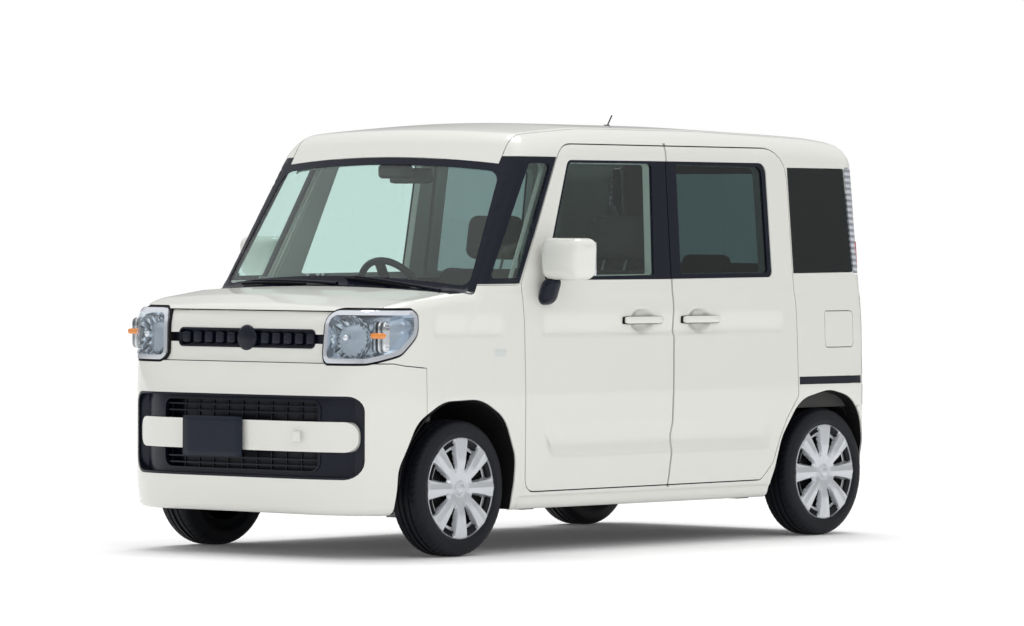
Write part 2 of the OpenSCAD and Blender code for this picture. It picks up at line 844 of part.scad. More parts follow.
module knuckle() {
  difference() {
    union() {
      // hub carrier and spindle
      translate([track_front / 2 - 47, front_axle_y, axle_z]) rotate([0, 90, 0])
        cylinder(h = 32, r = 42);
      translate([track_front / 2 - 47, front_axle_y, axle_z]) rotate([0, 90, 0])
        cylinder(h = 80, r = spindle_r);
      on_king_pin() translate([0, 0, 4]) cylinder(h = 240, r = 22);
      translate([king_low_x - 20, front_axle_y - 28, axle_z - 30]) cube([45, 56, 60]);
      // strut: damper, spring and rod
      on_king_pin() {
        cylinder(h = 470, r = 17);
        translate([0, 0, 425]) cylinder(h = 8, r = 62);
        translate([0, 0, 430]) cylinder(h = 235, r = 52);
        translate([0, 0, 660]) cylinder(h = strut_len - 640, r = 12);
      }
    }
    on_king_pin() translate([0, 0, -30]) cylinder(h = 52, r = 10 + running_gap);
  }
}

module knuckle_left() color("slategray") knuckle();
module knuckle_right() color("slategray") mirror([1, 0, 0]) knuckle();

module rear_axle() color("dimgray") {
  arm_x = track_rear / 2 - 130;
  difference() {
    union() {
      translate([-arm_x, rear_axle_y - 190, 215]) cube([2 * arm_x, 80, 62]);
      mirror_copy() {
        translate([arm_x - 55, rear_axle_y - 480, 228]) cube([55, 520, 50]);
        translate([arm_x - 55, rear_axle_y - 480, 228]) cube([55, 50, floor_z - floor_t - 228]);
        translate([arm_x - 55, rear_axle_y - 40, 238]) cube([56, 80, 80]);
        translate([arm_x, rear_axle_y, axle_z]) rotate([0, 90, 0])
          cylinder(h = 85, r = 40);
        translate([arm_x, rear_axle_y, axle_z]) rotate([0, 90, 0])
          cylinder(h = 158, r = spindle_r);
        // spring up to the luggage floor, and damper behind it
        translate([arm_x - 105, rear_axle_y - 60, 268])
          cylinder(h = luggage_z - floor_t - 268, r = 45);
        translate([arm_x - 140, rear_axle_y - 120, 228]) cube([90, 110, 42]);
      }
    }
  }
}

module fuel_tank() color("black") {
  translate([-130, -330, 175]) cube([560, 640, floor_z - floor_t - 175]);
}

// One pipe from the engine to a silencer behind the axle, on two hangers
module exhaust() color("silver") {
  pipe_x = -180;
  pipe_z = 186;
  translate([pipe_x, front_axle_y + 85, pipe_z]) rotate([-90, 0, 0])
    cylinder(h = rear_axle_y + 150 - front_axle_y - 85, r = 24);
  translate([pipe_x - 15, toe_y + 90, pipe_z]) cube([30, 30, floor_z - floor_t - pipe_z]);
  translate([pipe_x - 40, rear_axle_y + 180, pipe_z + 84]) rotate([0, 90, 0])
    cylinder(h = 360, r = 85);
  translate([pipe_x + 280, rear_axle_y + 180, pipe_z + 60]) rotate([-90, 0, 0])
    cylinder(h = 150, r = 22);
  translate([pipe_x + 120, rear_axle_y + 165, pipe_z + 150])
    cube([30, 30, luggage_z - floor_t - pipe_z - 150]);
}

// Tyre: rounded shoulders from a stack of straight and sloped bands
module tyre(side, track, y) {
  bead = rim_d / 2;
  outer = tyre_d / 2;
  half = tyre_w / 2;
  mirror([side < 0 ? 1 : 0, 0, 0]) translate([track / 2, y, axle_z])
    rotate([0, 90, 0]) rotate_extrude() polygon([
      [bead, -half + 16], [bead + 14, -half + 6], [bead + 45, -half],
      [outer - 30, -half + 5], [outer - 9, -half + 14], [outer, -half + 30],
      [outer, half - 30], [outer - 9, half - 14], [outer - 30, half - 5],
      [bead + 45, half], [bead + 14, half - 6], [bead, half - 16]
    ]);
}

// Rim with its eight-spoke cover; the bore runs on the spindle
module rim(side, track, y) {
  half = tyre_w / 2;
  bead = rim_d / 2;
  mirror([side < 0 ? 1 : 0, 0, 0]) translate([track / 2, y, axle_z])
  rotate([0, 90, 0]) difference() {
    union() {
      difference() {
        translate([0, 0, -half + 16]) cylinder(h = 2 * half - 32, r = bead);
        translate([0, 0, -half]) cylinder(h = 2 * half, r = bead - 12);
      }
      translate([0, 0, half - 42]) cylinder(h = 14, r = bead - 10);
      translate([0, 0, -10]) cylinder(h = 60, r = 55);
      translate([0, 0, half - 27.9]) cylinder(h = 9, r = bead + 0);
    }
    translate([0, 0, -half]) cylinder(h = 2 * half - 20, r = spindle_r + running_gap);
    for (i = [0:7]) rotate([0, 0, i * 45 + 22.5])
      translate([70, -9, half - 60]) cube([70, 18, 60]);
  }
}

module tyre_front_left() color("#202020") tyre(1, track_front, front_axle_y);
module tyre_front_right() color("#202020") tyre(-1, track_front, front_axle_y);
module tyre_rear_left() color("#202020") tyre(1, track_rear, rear_axle_y);
module tyre_rear_right() color("#202020") tyre(-1, track_rear, rear_axle_y);
module rim_front_left() color("silver") rim(1, track_front, front_axle_y);
module rim_front_right() color("silver") rim(-1, track_front, front_axle_y);
module rim_rear_left() color("silver") rim(1, track_rear, rear_axle_y);
module rim_rear_right() color("silver") rim(-1, track_rear, rear_axle_y);

// ---- Opening panels ----------------------------------------------------

module front_door(side) {
  difference() {
    intersection() {
      wall(side_t, roof_t);
      side_prism(front_door_outline(0, 0), side > 0 ? 300 : -half_w, side > 0 ? half_w : -300);
    }
    window_cut(front_pane);
    mirror([side < 0 ? 1 : 0, 0, 0]) at_door_hinges()
      hinge_notch(door_arm_angle, door_opening, 90);
  }
}

module front_door_left() color("ivory") front_door(1);
module front_door_right() color("ivory") front_door(-1);
module door_window_left() color("lightseagreen", 0.4) side_pane(front_pane, 1);
module door_window_right() color("lightseagreen", 0.4) side_pane(front_pane, -1);

mirror_y = door_front_y + 105;    // front face of a mirror housing

module mirror_housing() {
  // foot on the door, neck and housing
  translate([half_w - 45, mirror_y, belt_h - 105]) cube([95, 75, 112]);
  translate([half_w + 8, mirror_y, belt_h + 5]) cube([204, 118, 165]);
}

module mirror_left() color("ivory") difference() {
  mirror_housing();
  body_form(0, 0);
}
module mirror_right() color("ivory") mirror([1, 0, 0]) mirror_left();

module hood() color("ivory") {
  difference() {
    intersection() {
      wall(hood_t, hood_t);
      translate([-hood_side_x, -half_l, nose_top_z + gap])
        cube([2 * hood_side_x, cowl_y + half_l, 400]);
    }
    at_hood_hinges() hinge_notch(hood_arm_angle, hood_opening, 60);
  }
}

module tailgate() color("ivory") {
  difference() {
    intersection() {
      wall(side_t, roof_t);
      translate([-tail_x, tail_y, bumper_top_z + gap]) cube([2 * tail_x, 400, far]);
    }
    tail_pane(30);
    at_tail_hinges() hinge_notch(tail_arm_angle, -tail_opening, 80);
  }
}

module tail_pane(depth) {
  translate([-tail_x + 60, tail_y - depth, belt_h + 20])
    cube([2 * tail_x - 120, depth + 300, glass_top_z - belt_h - 20]);
}

module tailgate_window() color("dimgray", 0.5) {
  intersection() {
    difference() {
      body_form(8, 8);
      body_form(8 + glass_t, 8 + glass_t);
    }
    tail_pane(10);
  }
}

module fuel_lid() color("ivory") {
  difference() {
    union() {
      intersection() {
        wall(skin_t, skin_t);
        translate([half_w - 60, fuel_y, fuel_z]) cube([80, fuel_w, fuel_h]);
      }
      // barrel on its upright pin
      translate([lid_hinge_x, lid_hinge_y, fuel_z + 4]) cylinder(h = fuel_h - 8, r = 5);
    }
    translate([lid_hinge_x, lid_hinge_y, fuel_z - 10])
      cylinder(h = fuel_h + 20, r = lid_pin_r + running_gap);
  }
}

underbody();
roof();
side_frame_left();
side_frame_right();
front_fenders();
front_bumper();
rear_bumper();
windshield();
side_windows();
sliding_doors();
cowl();
headlights();
taillights();
front_panel();
lower_grille();
front_plate();
antenna();
front_seats();
rear_seats();
dashboard();
engine();
front_suspension();
rear_axle();
fuel_tank();
exhaust();
front_door_left();
front_door_right();
door_window_left();
door_window_right();
mirror_left();
mirror_right();
hood();
tailgate();
tailgate_window();
fuel_lid();
knuckle_left();
knuckle_right();
steering_wheel();
tyre_front_left();
tyre_front_right();
tyre_rear_left();
tyre_rear_right();
rim_front_left();
rim_front_right();
rim_rear_left();
rim_rear_right();
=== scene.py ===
import math

import bmesh
import bpy
import numpy as np
from mathutils import Matrix, Vector


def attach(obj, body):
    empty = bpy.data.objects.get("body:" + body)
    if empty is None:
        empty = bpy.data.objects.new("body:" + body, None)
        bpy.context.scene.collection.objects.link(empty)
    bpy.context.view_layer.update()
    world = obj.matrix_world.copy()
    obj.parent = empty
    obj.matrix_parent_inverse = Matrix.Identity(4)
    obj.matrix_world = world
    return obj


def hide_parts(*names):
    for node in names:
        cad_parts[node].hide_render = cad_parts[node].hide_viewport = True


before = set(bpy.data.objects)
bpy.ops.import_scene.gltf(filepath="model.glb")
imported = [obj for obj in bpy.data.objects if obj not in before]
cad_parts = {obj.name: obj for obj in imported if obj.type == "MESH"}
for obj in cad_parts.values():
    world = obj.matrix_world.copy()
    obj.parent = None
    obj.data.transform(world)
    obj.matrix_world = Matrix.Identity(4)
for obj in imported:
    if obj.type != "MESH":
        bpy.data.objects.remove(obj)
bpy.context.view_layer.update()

MM = 0.001
SIDES = ("left", "right")

# ---------------------------------------------------------------- the body's form
HALF_LENGTH = 1.6975
NOSE_CURVE_Y, NOSE_DEPTH, NOSE_POWER = -1.2, 0.4975, 3.5
TAIL_CURVE_Y, TAIL_DEPTH, TAIL_POWER = 1.5775, 0.120, 3.0
SHIELD_FOOT_Y, SHIELD_FOOT_Z = -1.099, 1.085
SHIELD_LEAN = math.radians(57.5)
SHIELD_RADIUS = 3.1
ROOF_CROWN, HOOD_CROWN = 0.0733, 0.05
SILL_Z = 0.178
GRID_FINE, GRID_COARSE = 0.016, 0.032


def profile(points, softness=15):
    """A smooth curve through (place, value) points in millimetres, as a function in metres."""
    places = np.arange(points[0][0], points[-1][0] + 1.0)
    values = np.interp(places, [p[0] for p in points], [p[1] for p in points])
    reach = np.arange(-4 * softness, 4 * softness + 1)
    weights = np.exp(-0.5 * (reach / softness) ** 2)
    padded = np.pad(values, 4 * softness, mode="reflect", reflect_type="odd")
    values = np.convolve(padded, weights / weights.sum(), mode="valid")
    return lambda place: np.interp(place, places * MM, values * MM)


half_width = profile([(0, 700), (178, 716), (300, 735.5), (650, 737.5), (950, 728.5),
                      (1125, 711.5), (1686, 655.5), (1900, 634)])
nose_face = profile([(0, -1650), (200, -1667.5), (300, -1696), (560, -1697.5), (680, -1680.5),
                     (770, -1643), (800, -1626), (940, -1617.5), (990, -1607), (1300, -1590)], 12)
tail_face = profile([(0, 1650), (178, 1667.5), (240, 1695), (565, 1697.5), (1125, 1685),
                     (1635, 1675), (1737, 1652), (1900, 1640)])
hood_top = profile([(-1800, 960), (-1620, 1004), (-1560, 1025), (-1400, 1062), (-1140, 1095),
                    (-900, 1106), (1900, 1106)])
roof_top = profile([(-1400, 1560), (-900, 1690), (-700, 1738), (-560, 1757), (-200, 1785),
                    (600, 1785), (1402, 1763), (1642, 1737), (1900, 1700)], 60)


def smoothstep(low, high, value):
    t = np.clip((value - low) / (high - low), 0, 1)
    return t * t * (3 - 2 * t)


def round_meet(a, b, radius):
    """Where both a and b are negative, with a fillet of the radius between their walls."""
    over = np.hypot(np.maximum(a + radius, 0), np.maximum(b + radius, 0))
    return np.minimum(np.maximum(a, b), -radius) + over


def blend_join(a, b, reach):
    """The union of a and b with a small fillet."""
    t = np.clip(0.5 + 0.5 * (b - a) / reach, 0, 1)
    return b + (a - b) * t - reach * t * (1 - t)


def pressed_lines(y, z):
    """How far the pressings in the side panels sink or stand out."""
    upper = smoothstep(1.010, 0.905, z) * smoothstep(0.884, 0.900, z)
    door = smoothstep(-0.615, -0.575, y) * smoothstep(1.05, 1.01, y)
    fender = smoothstep(-1.30, -1.26, y) * smoothstep(-0.845, -0.885, y)
    lower = smoothstep(0.535, 0.455, z) * smoothstep(0.385, 0.440, z)
    slant = y + 0.45 * (z - 0.53)
    lower = lower * smoothstep(-0.625, -0.575, slant) * smoothstep(0.95, 0.89, y)
    sill = smoothstep(0.238, 0.226, z) * smoothstep(-0.76, -0.74, y) * smoothstep(1.0, 0.97, y)
    cups = 0
    for place in (0.063, 0.455):
        reach = np.hypot((y - place) / 0.086, (z - 0.951) / 0.060)
        cups = cups + 0.014 * smoothstep(1.0, 0.55, reach)
    return -0.009 * upper * (door + fender) - 0.015 * lower - 0.006 * sill - cups


def squircle(u, v, across, along, power):
    up, vp = np.maximum(u, 0) ** power, np.maximum(v, 0) ** power
    total = up + vp + 1e-12
    return (total ** (1 / power) - 1) * (up * across + vp * along) / total


def field(points, sunk=0.0):
    """Signed distance, roughly, to the body's skin sunk by some metres; negative inside."""
    x, y, z = np.abs(points[..., 0]), points[..., 1], points[..., 2]
    across = half_width(z) - sunk
    u = np.maximum(x - pressed_lines(y, z), 0) / across
    nose_reach, tail_reach = NOSE_DEPTH - sunk, TAIL_DEPTH - sunk
    nose = squircle(u, np.maximum(NOSE_CURVE_Y - y, 0) / nose_reach, across, nose_reach, NOSE_POWER)
    tail = squircle(u, np.maximum(y - TAIL_CURVE_Y, 0) / tail_reach, across, tail_reach, TAIL_POWER)
    plan = round_meet(np.maximum(nose, tail), nose_face(z) + sunk - y, 0.030)
    plan = round_meet(plan, y - tail_face(z) + sunk, 0.015)
    roof = z - (roof_top(y) - ROOF_CROWN * x ** 2 - sunk)
    sag = SHIELD_RADIUS - np.sqrt(SHIELD_RADIUS ** 2 - np.minimum(x, 1.2) ** 2)
    shield = sunk + sag - (y - SHIELD_FOOT_Y) * math.sin(SHIELD_LEAN) \
        + (z - SHIELD_FOOT_Z) * math.cos(SHIELD_LEAN)
    cabin = round_meet(round_meet(plan, roof, 0.105), shield, 0.040)
    hood = z - (hood_top(y) - HOOD_CROWN * x ** 2 - sunk)
    front = round_meet(plan, hood, 0.045)
    whole = blend_join(cabin, front, 0.014)
    low = SILL_Z - z if sunk < 0.0005 else 0.05 - z
    return round_meet(whole, low, 0.028)


def slope(points, sunk=0.0, step=0.0006):
    """Unit normals of the body's skin near the points."""
    out = np.empty_like(points)
    for axis in range(3):
        move = np.zeros(3)
        move[axis] = step
        out[..., axis] = field(points + move, sunk) - field(points - move, sunk)
    return out / np.maximum(np.linalg.norm(out, axis=-1, keepdims=True), 1e-12)


def on_skin(points, sunk=0.0, rounds=4):
    """Points moved along the slope onto the skin."""
    step = 0.0006
    for _ in range(rounds):
        value = field(points, sunk)
        grad = np.empty_like(points)
        for axis in range(3):
            move = np.zeros(3)
            move[axis] = step
            grad[..., axis] = (field(points + move, sunk) - field(points - move, sunk)) / (2 * step)
        size = np.maximum((grad ** 2).sum(-1), 0.05)
        points = points - np.clip(value / size, -0.01, 0.01)[..., None] * grad
    return points


# ---------------------------------------------------------------- meshes and solids
def new_object(name, points, faces):
    mesh = bpy.data.meshes.new(name)
    mesh.from_pydata([tuple(p) for p in points], [], [tuple(f) for f in faces])
    mesh.update()
    made = bpy.data.objects.new(name, mesh)
    bpy.context.scene.collection.objects.link(made)
    return made


def nets(sunk, pitch):
    """The skin as one closed mesh of even quads, by surface nets."""
    low = np.array([-0.80, -1.76, 0.02])
    count = np.ceil((np.array([0.80, 1.76, 1.86]) - low) / pitch).astype(int)
    axes = [low[i] + pitch * np.arange(count[i]) + pitch * 0.37 for i in range(3)]
    grid = np.stack(np.meshgrid(*axes, indexing="ij"), -1)
    value = field(grid, sunk)
    inside = value < 0
    cells = tuple(c - 1 for c in count)
    total, hits = np.zeros(cells + (3,)), np.zeros(cells)
    crossings = []
    for axis in range(3):
        a = [slice(None)] * 3
        b = [slice(None)] * 3
        a[axis], b[axis] = slice(0, -1), slice(1, None)
        a, b = tuple(a), tuple(b)
        cross = inside[a] != inside[b]
        share = np.where(cross, value[a] / np.where(cross, value[a] - value[b], 1), 0)
        place = grid[a] + share[..., None] * (grid[b] - grid[a])
        place = np.where(cross[..., None], place, 0)
        others = [i for i in range(3) if i != axis]
        for j in (0, 1):
            for k in (0, 1):
                pick = [slice(None)] * 3
                pick[others[0]] = slice(j, j + cells[others[0]])
                pick[others[1]] = slice(k, k + cells[others[1]])
                total += place[tuple(pick)]
                hits += cross[tuple(pick)]
        crossings.append((axis, others, cross, inside[a]))
    used = hits > 0
    index = np.full(cells, -1)
    index[used] = np.arange(used.sum())
    points = on_skin(total[used] / hits[used][:, None], sunk)
    faces = []
    for axis, others, cross, first_inside in crossings:
        where = np.argwhere(cross)
        keep = np.all([(where[:, o] > 0) & (where[:, o] < count[o] - 1) for o in others], axis=0)
        where = where[keep]
        corner = []
        for j, k in ((1, 1), (0, 1), (0, 0), (1, 0)):
            cell = where.copy()
            cell[:, others[0]] -= j
            cell[:, others[1]] -= k
            corner.append(index[tuple(cell.T)])
        quad = np.stack(corner, 1)
        turn = first_inside[tuple(where.T)]
        if axis == 1:
            turn = ~turn
        quad[~turn] = quad[~turn][:, ::-1]
        faces.append(quad)
    faces = np.concatenate(faces)
    made = new_object("skin", points, faces.tolist())
    return made


solids = {}
spare = []


def solid(sunk, fine=False):
    key = (round(sunk, 5), fine)
    if key not in solids:
        solids[key] = nets(sunk, GRID_FINE if fine else GRID_COARSE)
    return solids[key]


def outline(*corners, steps=6):
    """A closed outline in metres from corners in millimetres, each (a, b) or (a, b, radius)."""
    points = [np.array(c[:2], float) for c in corners]
    out = []
    for i, corner in enumerate(corners):
        here, before, after = points[i], points[i - 1], points[(i + 1) % len(points)]
        radius = corner[2] if len(corner) > 2 else 0
        back, on = before - here, after - here
        lb, lo = np.linalg.norm(back), np.linalg.norm(on)
        back, on = back / lb, on / lo
        angle = math.acos(max(-1, min(1, float(back @ on))))
        if radius < 0.5 or angle > math.pi - 0.01:
            out.append(here)
            continue
        reach = min(radius / math.tan(angle / 2), 0.49 * lb, 0.49 * lo)
        radius = reach * math.tan(angle / 2)
        centre = here + (back + on) / np.linalg.norm(back + on) * (radius / math.sin(angle / 2))
        start, end = here + back * reach - centre, here + on * reach - centre
        a0 = math.atan2(start[1], start[0])
        turn = (math.atan2(end[1], end[0]) - a0 + math.pi) % (2 * math.pi) - math.pi
        for k in range(steps + 1):
            a = a0 + turn * k / steps
            out.append(centre + radius * np.array([math.cos(a), math.sin(a)]))
    return np.array(out) * MM


def grown(points, by):
    """An outline moved outwards by millimetres; inwards when negative."""
    ahead = np.roll(points, -1, 0) - points
    ahead /= np.maximum(np.linalg.norm(ahead, axis=1, keepdims=True), 1e-9)
    around = points[:, 0] @ np.roll(points[:, 1], -1) - points[:, 1] @ np.roll(points[:, 0], -1)
    out = np.stack([ahead[:, 1], -ahead[:, 0]], 1) * (1 if around > 0 else -1)
    before = np.roll(out, 1, 0)
    share = np.maximum(1 + (out * before).sum(1, keepdims=True), 0.5)
    return points + (out + before) / share * by * MM


VIEWS = {"side": ((0, 1, 0), (0, 0, 1), (1, 0, 0)), "front": ((1, 0, 0), (0, 0, 1), (0, 1, 0)),
         "top": ((1, 0, 0), (0, 1, 0), (0, 0, 1)),
         "shield": ((1, 0, 0), (0, math.cos(SHIELD_LEAN), math.sin(SHIELD_LEAN)),
                    (0, -math.sin(SHIELD_LEAN), math.cos(SHIELD_LEAN)))}


def prism(view, points, low, high):
    """A solid with the outline as seen in a view, from low to high along that view, in metres."""
    u, v, n = (np.array(a, float) for a in VIEWS[view])
    base = points[:, :1] * u + points[:, 1:2] * v
    if view == "shield":
        base = base + np.array([0, SHIELD_FOOT_Y, SHIELD_FOOT_Z])
    count = len(points)
    verts = np.concatenate([base + low * n, base + high * n])
    faces = [list(range(count)), list(range(2 * count - 1, count - 1, -1))]
    faces += [[i, i + count, (i + 1) % count + count, (i + 1) % count] for i in range(count)]
    made = new_object("prism", verts, faces)
    tidy = bmesh.new()
    tidy.from_mesh(made.data)
    bmesh.ops.recalc_face_normals(tidy, faces=tidy.faces)
    tidy.to_mesh(made.data)
    tidy.free()
    spare.append(made)
    return made


def block(x0, x1, y0, y1, z0, z1):
    """A plain box in millimetres to keep or cut with."""
    return prism("top", outline((x0, y0), (x1, y0), (x1, y1), (x0, y1)), z0 * MM, z1 * MM)


def combine(base, tool, how):
    step = base.modifiers.new("step", "BOOLEAN")
    step.object, step.operation, step.solver = tool, how, "MANIFOLD"
    depsgraph = bpy.context.evaluated_depsgraph_get()
    mesh = bpy.data.meshes.new_from_object(base.evaluated_get(depsgraph))
    base.modifiers.clear()
    base.data = mesh
    return base


def copy_of(obj):
    made = bpy.data.objects.new("copy", obj.data.copy())
    bpy.context.scene.collection.objects.link(made)
    return made


def shell(top, bottom, keep, cut=(), fine=False):
    """A curved plate between two depths of the skin, kept inside and cut by solids."""
    made = copy_of(keep[0])
    for tool in keep[1:]:
        combine(made, tool, "INTERSECT")
    for tool in cut:
        combine(made, tool, "DIFFERENCE")
    combine(made, solid(top, fine), "INTERSECT")
    combine(made, solid(bottom), "DIFFERENCE")
    made["depths"] = [top, bottom]
    return made


def shade_skin(obj):
    """Normals from the body's own form where a face lies on the skin, flat elsewhere."""
    mesh = obj.data
    co = np.empty(len(mesh.vertices) * 3)
    mesh.vertices.foreach_get("co", co)
    co = co.reshape(-1, 3)
    starts = np.empty(len(mesh.polygons), int)
    mesh.polygons.foreach_get("loop_start", starts)
    corner = np.empty(len(mesh.loops), int)
    mesh.loops.foreach_get("vertex_index", corner)
    flat = np.empty(len(mesh.polygons) * 3)
    mesh.polygons.foreach_get("normal", flat)
    flat = flat.reshape(-1, 3)
    face_of = np.repeat(np.arange(len(starts)), np.diff(np.append(starts, len(corner))))
    normals = flat[face_of]
    for depth, sign in zip(obj["depths"], (1, -1)):
        near = np.abs(field(co, depth)) < 0.0012
        facing = slope(co, depth) * sign
        agree = (facing[corner] * flat[face_of]).sum(1) > 0.75
        good = np.logical_and.reduceat(near[corner] & agree, starts)
        pick = good[face_of]
        normals[pick] = facing[corner[pick]]
    mesh.polygons.foreach_set("use_smooth", np.ones(len(mesh.polygons), bool))
    mesh.normals_split_custom_set(normals.tolist())


def smooth(obj, angle=35):
    """Smooth shading with edges sharper than the angle kept crisp."""
    mesh = obj.data
    mesh.polygons.foreach_set("use_smooth", np.ones(len(mesh.polygons), bool))
    mesh.set_sharp_from_angle(angle=math.radians(angle))
    return obj


def mirrored(obj):
    made = copy_of(obj)
    made.data.transform(Matrix.Scale(-1, 4, (1, 0, 0)))
    made.data.flip_normals()
    if "depths" in obj:
        made["depths"] = list(obj["depths"])
    return made


def other_side(tool):
    """A keep or cut solid mirrored to the right."""
    made = mirrored(tool)
    spare.append(made)
    return made


def place(obj, name, body, material, slot=None, stands_for=()):
    """The object becomes a named piece with its material, body, slot and CAD nodes."""
    obj.name = name
    obj.data.materials.clear()
    obj.data.materials.append(material)
    if "depths" in obj:
        shade_skin(obj)
    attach(obj, body)
    if stands_for:
        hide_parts(*stands_for)
    return obj


def place_pair(obj, name, body, material, slot=None, stands_for=()):
    """The same on both sides; {side} in a name becomes left or right."""
    pieces = []
    for side in SIDES:
        made = obj if side == "left" else mirrored(obj)
        pieces.append((made, side))
    out = []
    for made, side in pieces:
        nodes = [n.format(side=side) for n in stands_for]
        label = name.format(side=side) if "{" in name else f"{name}_{side}"
        out.append(place(made, label, body.format(side=side), material, slot, nodes))
    return out




# ---------------------------------------------------------------- materials
def finish_of(name, colour, rough=0.5, metal=0.0, coat=0.0, spread=0.0, scale=40.0, bump=0.0,
              stretch=(1, 1, 1), light=0.0, sheen=0.5):
    """A Principled material whose colour varies a little with noise, with an optional bump."""
    mat = bpy.data.materials.new(name)
    mat.use_nodes = True
    nodes, links = mat.node_tree.nodes, mat.node_tree.links
    shader = nodes["Principled BSDF"]
    shader.inputs["Base Color"].default_value = (*colour, 1)
    shader.inputs["Roughness"].default_value = rough
    shader.inputs["Metallic"].default_value = metal
    shader.inputs["Coat Weight"].default_value = coat
    shader.inputs["Coat Roughness"].default_value = 0.04
    shader.inputs["Specular IOR Level"].default_value = sheen
    if light:
        shader.inputs["Emission Color"].default_value = (*colour, 1)
        shader.inputs["Emission Strength"].default_value = light
    if spread or bump:
        place_of = nodes.new("ShaderNodeTexCoord")
        mapping = nodes.new("ShaderNodeMapping")
        mapping.inputs["Scale"].default_value = stretch
        noise = nodes.new("ShaderNodeTexNoise")
        noise.inputs["Scale"].default_value = scale
        noise.inputs["Detail"].default_value = 3
        links.new(place_of.outputs["Object"], mapping.inputs["Vector"])
        links.new(mapping.outputs["Vector"], noise.inputs["Vector"])
        if spread:
            ramp = nodes.new("ShaderNodeMix")
            ramp.data_type = "RGBA"
            ramp.inputs["A"].default_value = (*[c * (1 - spread) for c in colour], 1)
            ramp.inputs["B"].default_value = (*[min(1, c * (1 + spread)) for c in colour], 1)
            links.new(noise.outputs["Fac"], ramp.inputs["Factor"])
            links.new(ramp.outputs["Result"], shader.inputs["Base Color"])
        if bump:
            raised = nodes.new("ShaderNodeBump")
            raised.inputs["Strength"].default_value = 0.4
            raised.inputs["Distance"].default_value = bump
            links.new(noise.outputs["Fac"], raised.inputs["Height"])
            links.new(raised.outputs["Normal"], shader.inputs["Normal"])
    return mat


def glass_of(name, tint, shine=1.0):
    """A thin pane: tinted see-through with a mirror-like sheen that grows at a slant."""
    mat = bpy.data.materials.new(name)
    mat.use_nodes = True
    nodes, links = mat.node_tree.nodes, mat.node_tree.links
    nodes.remove(nodes["Principled BSDF"])
    clear, gloss = nodes.new("ShaderNodeBsdfTransparent"), nodes.new("ShaderNodeBsdfGlossy")
    clear.inputs["Color"].default_value = (*tint, 1)
    gloss.inputs["Color"].default_value = (shine, shine, shine, 1)
    gloss.inputs["Roughness"].default_value = 0.02
    facing, mix = nodes.new("ShaderNodeLayerWeight"), nodes.new("ShaderNodeMixShader")
    curve, amount = nodes.new("ShaderNodeMath"), nodes.new("ShaderNodeMath")
    facing.inputs["Blend"].default_value = 0.5
    curve.operation, amount.operation = "POWER", "MULTIPLY_ADD"
    curve.inputs[1].default_value = 4.0
    amount.inputs[1].default_value, amount.inputs[2].default_value = 0.75, 0.04
    links.new(facing.outputs["Facing"], curve.inputs[0])
    links.new(curve.outputs["Value"], amount.inputs[0])
    links.new(amount.outputs["Value"], mix.inputs["Fac"])
    links.new(clear.outputs["BSDF"], mix.inputs[1])
    links.new(gloss.outputs["BSDF"], mix.inputs[2])
    links.new(mix.outputs["Shader"], nodes["Material Output"].inputs["Surface"])
    return mat


def ribbed_of(name, colour, across, rough=0.15, metal=0.0, depth=0.004, scale=30.0):
    """A material with even ribs along one direction."""
    mat = finish_of(name, colour, rough, metal, 0.5)
    nodes, links = mat.node_tree.nodes, mat.node_tree.links
    where, wave = nodes.new("ShaderNodeTexCoord"), nodes.new("ShaderNodeTexWave")
    wave.bands_direction = across
    wave.inputs["Scale"].default_value = scale
    raised = nodes.new("ShaderNodeBump")
    raised.inputs["Distance"].default_value = depth
    links.new(where.outputs["Object"], wave.inputs["Vector"])
    links.new(wave.outputs["Fac"], raised.inputs["Height"])
    links.new(raised.outputs["Normal"], nodes["Principled BSDF"].inputs["Normal"])
    shade = nodes.new("ShaderNodeMix")
    shade.data_type = "RGBA"
    shade.inputs["A"].default_value = (*[c * 0.35 for c in colour], 1)
    shade.inputs["B"].default_value = (*colour, 1)
    links.new(wave.outputs["Fac"], shade.inputs["Factor"])
    links.new(shade.outputs["Result"], nodes["Principled BSDF"].inputs["Base Color"])
    return mat


PAINT = finish_of("paint", (0.80, 0.80, 0.755), 0.35, 0.0, 0.8, 0.012, 900.0)
BLACK = finish_of("black_trim", (0.006, 0.008, 0.018), 0.25, 0.0, 0.0, 0.1, 60.0, sheen=0.25)
RUBBER_SEAL = finish_of("seal", (0.006, 0.006, 0.007), 0.7, 0.0, 0.0, 0.1, 60.0, sheen=0.2)
GRILLE = finish_of("grille_black", (0.005, 0.007, 0.016), 0.3, 0.0, 0.0, 0.1, 60.0, sheen=0.3)
CLEAR = glass_of("clear_glass", (0.86, 0.94, 0.92))
PRIVACY = glass_of("privacy_glass", (0.42, 0.50, 0.50))
LENS = glass_of("lamp_lens", (0.93, 0.96, 0.98))
SILVER = finish_of("lamp_surround", (0.80, 0.84, 0.90), 0.12, 0.75, 0.5, 0.02, 60.0)
BOWL = finish_of("lamp_bowl", (0.74, 0.78, 0.83), 0.2, 0.7, 0.0, 0.05, 30.0)
REFLECTOR = ribbed_of("lamp_reflector", (0.70, 0.73, 0.76), "X", 0.12, 1.0, 0.010, 12.0)
AMBER = finish_of("amber", (0.85, 0.28, 0.04), 0.2, 0.0, 0.8, 0.1, 50.0)
TAIL = ribbed_of("tail_lens", (0.62, 0.65, 0.72), "Z", 0.15, 0.1, 0.004, 12.0)
RED = finish_of("tail_red", (0.45, 0.02, 0.02), 0.2, 0.0, 0.8, 0.05, 50.0)
PLATE = finish_of("plate_blue", (0.005, 0.009, 0.022), 0.4, 0.0, 0.0, 0.05, 80.0, sheen=0.3)
FABRIC = finish_of("seat_fabric", (0.060, 0.050, 0.045), 0.9, 0.0, 0.0, 0.35, 900.0, 0.0006)
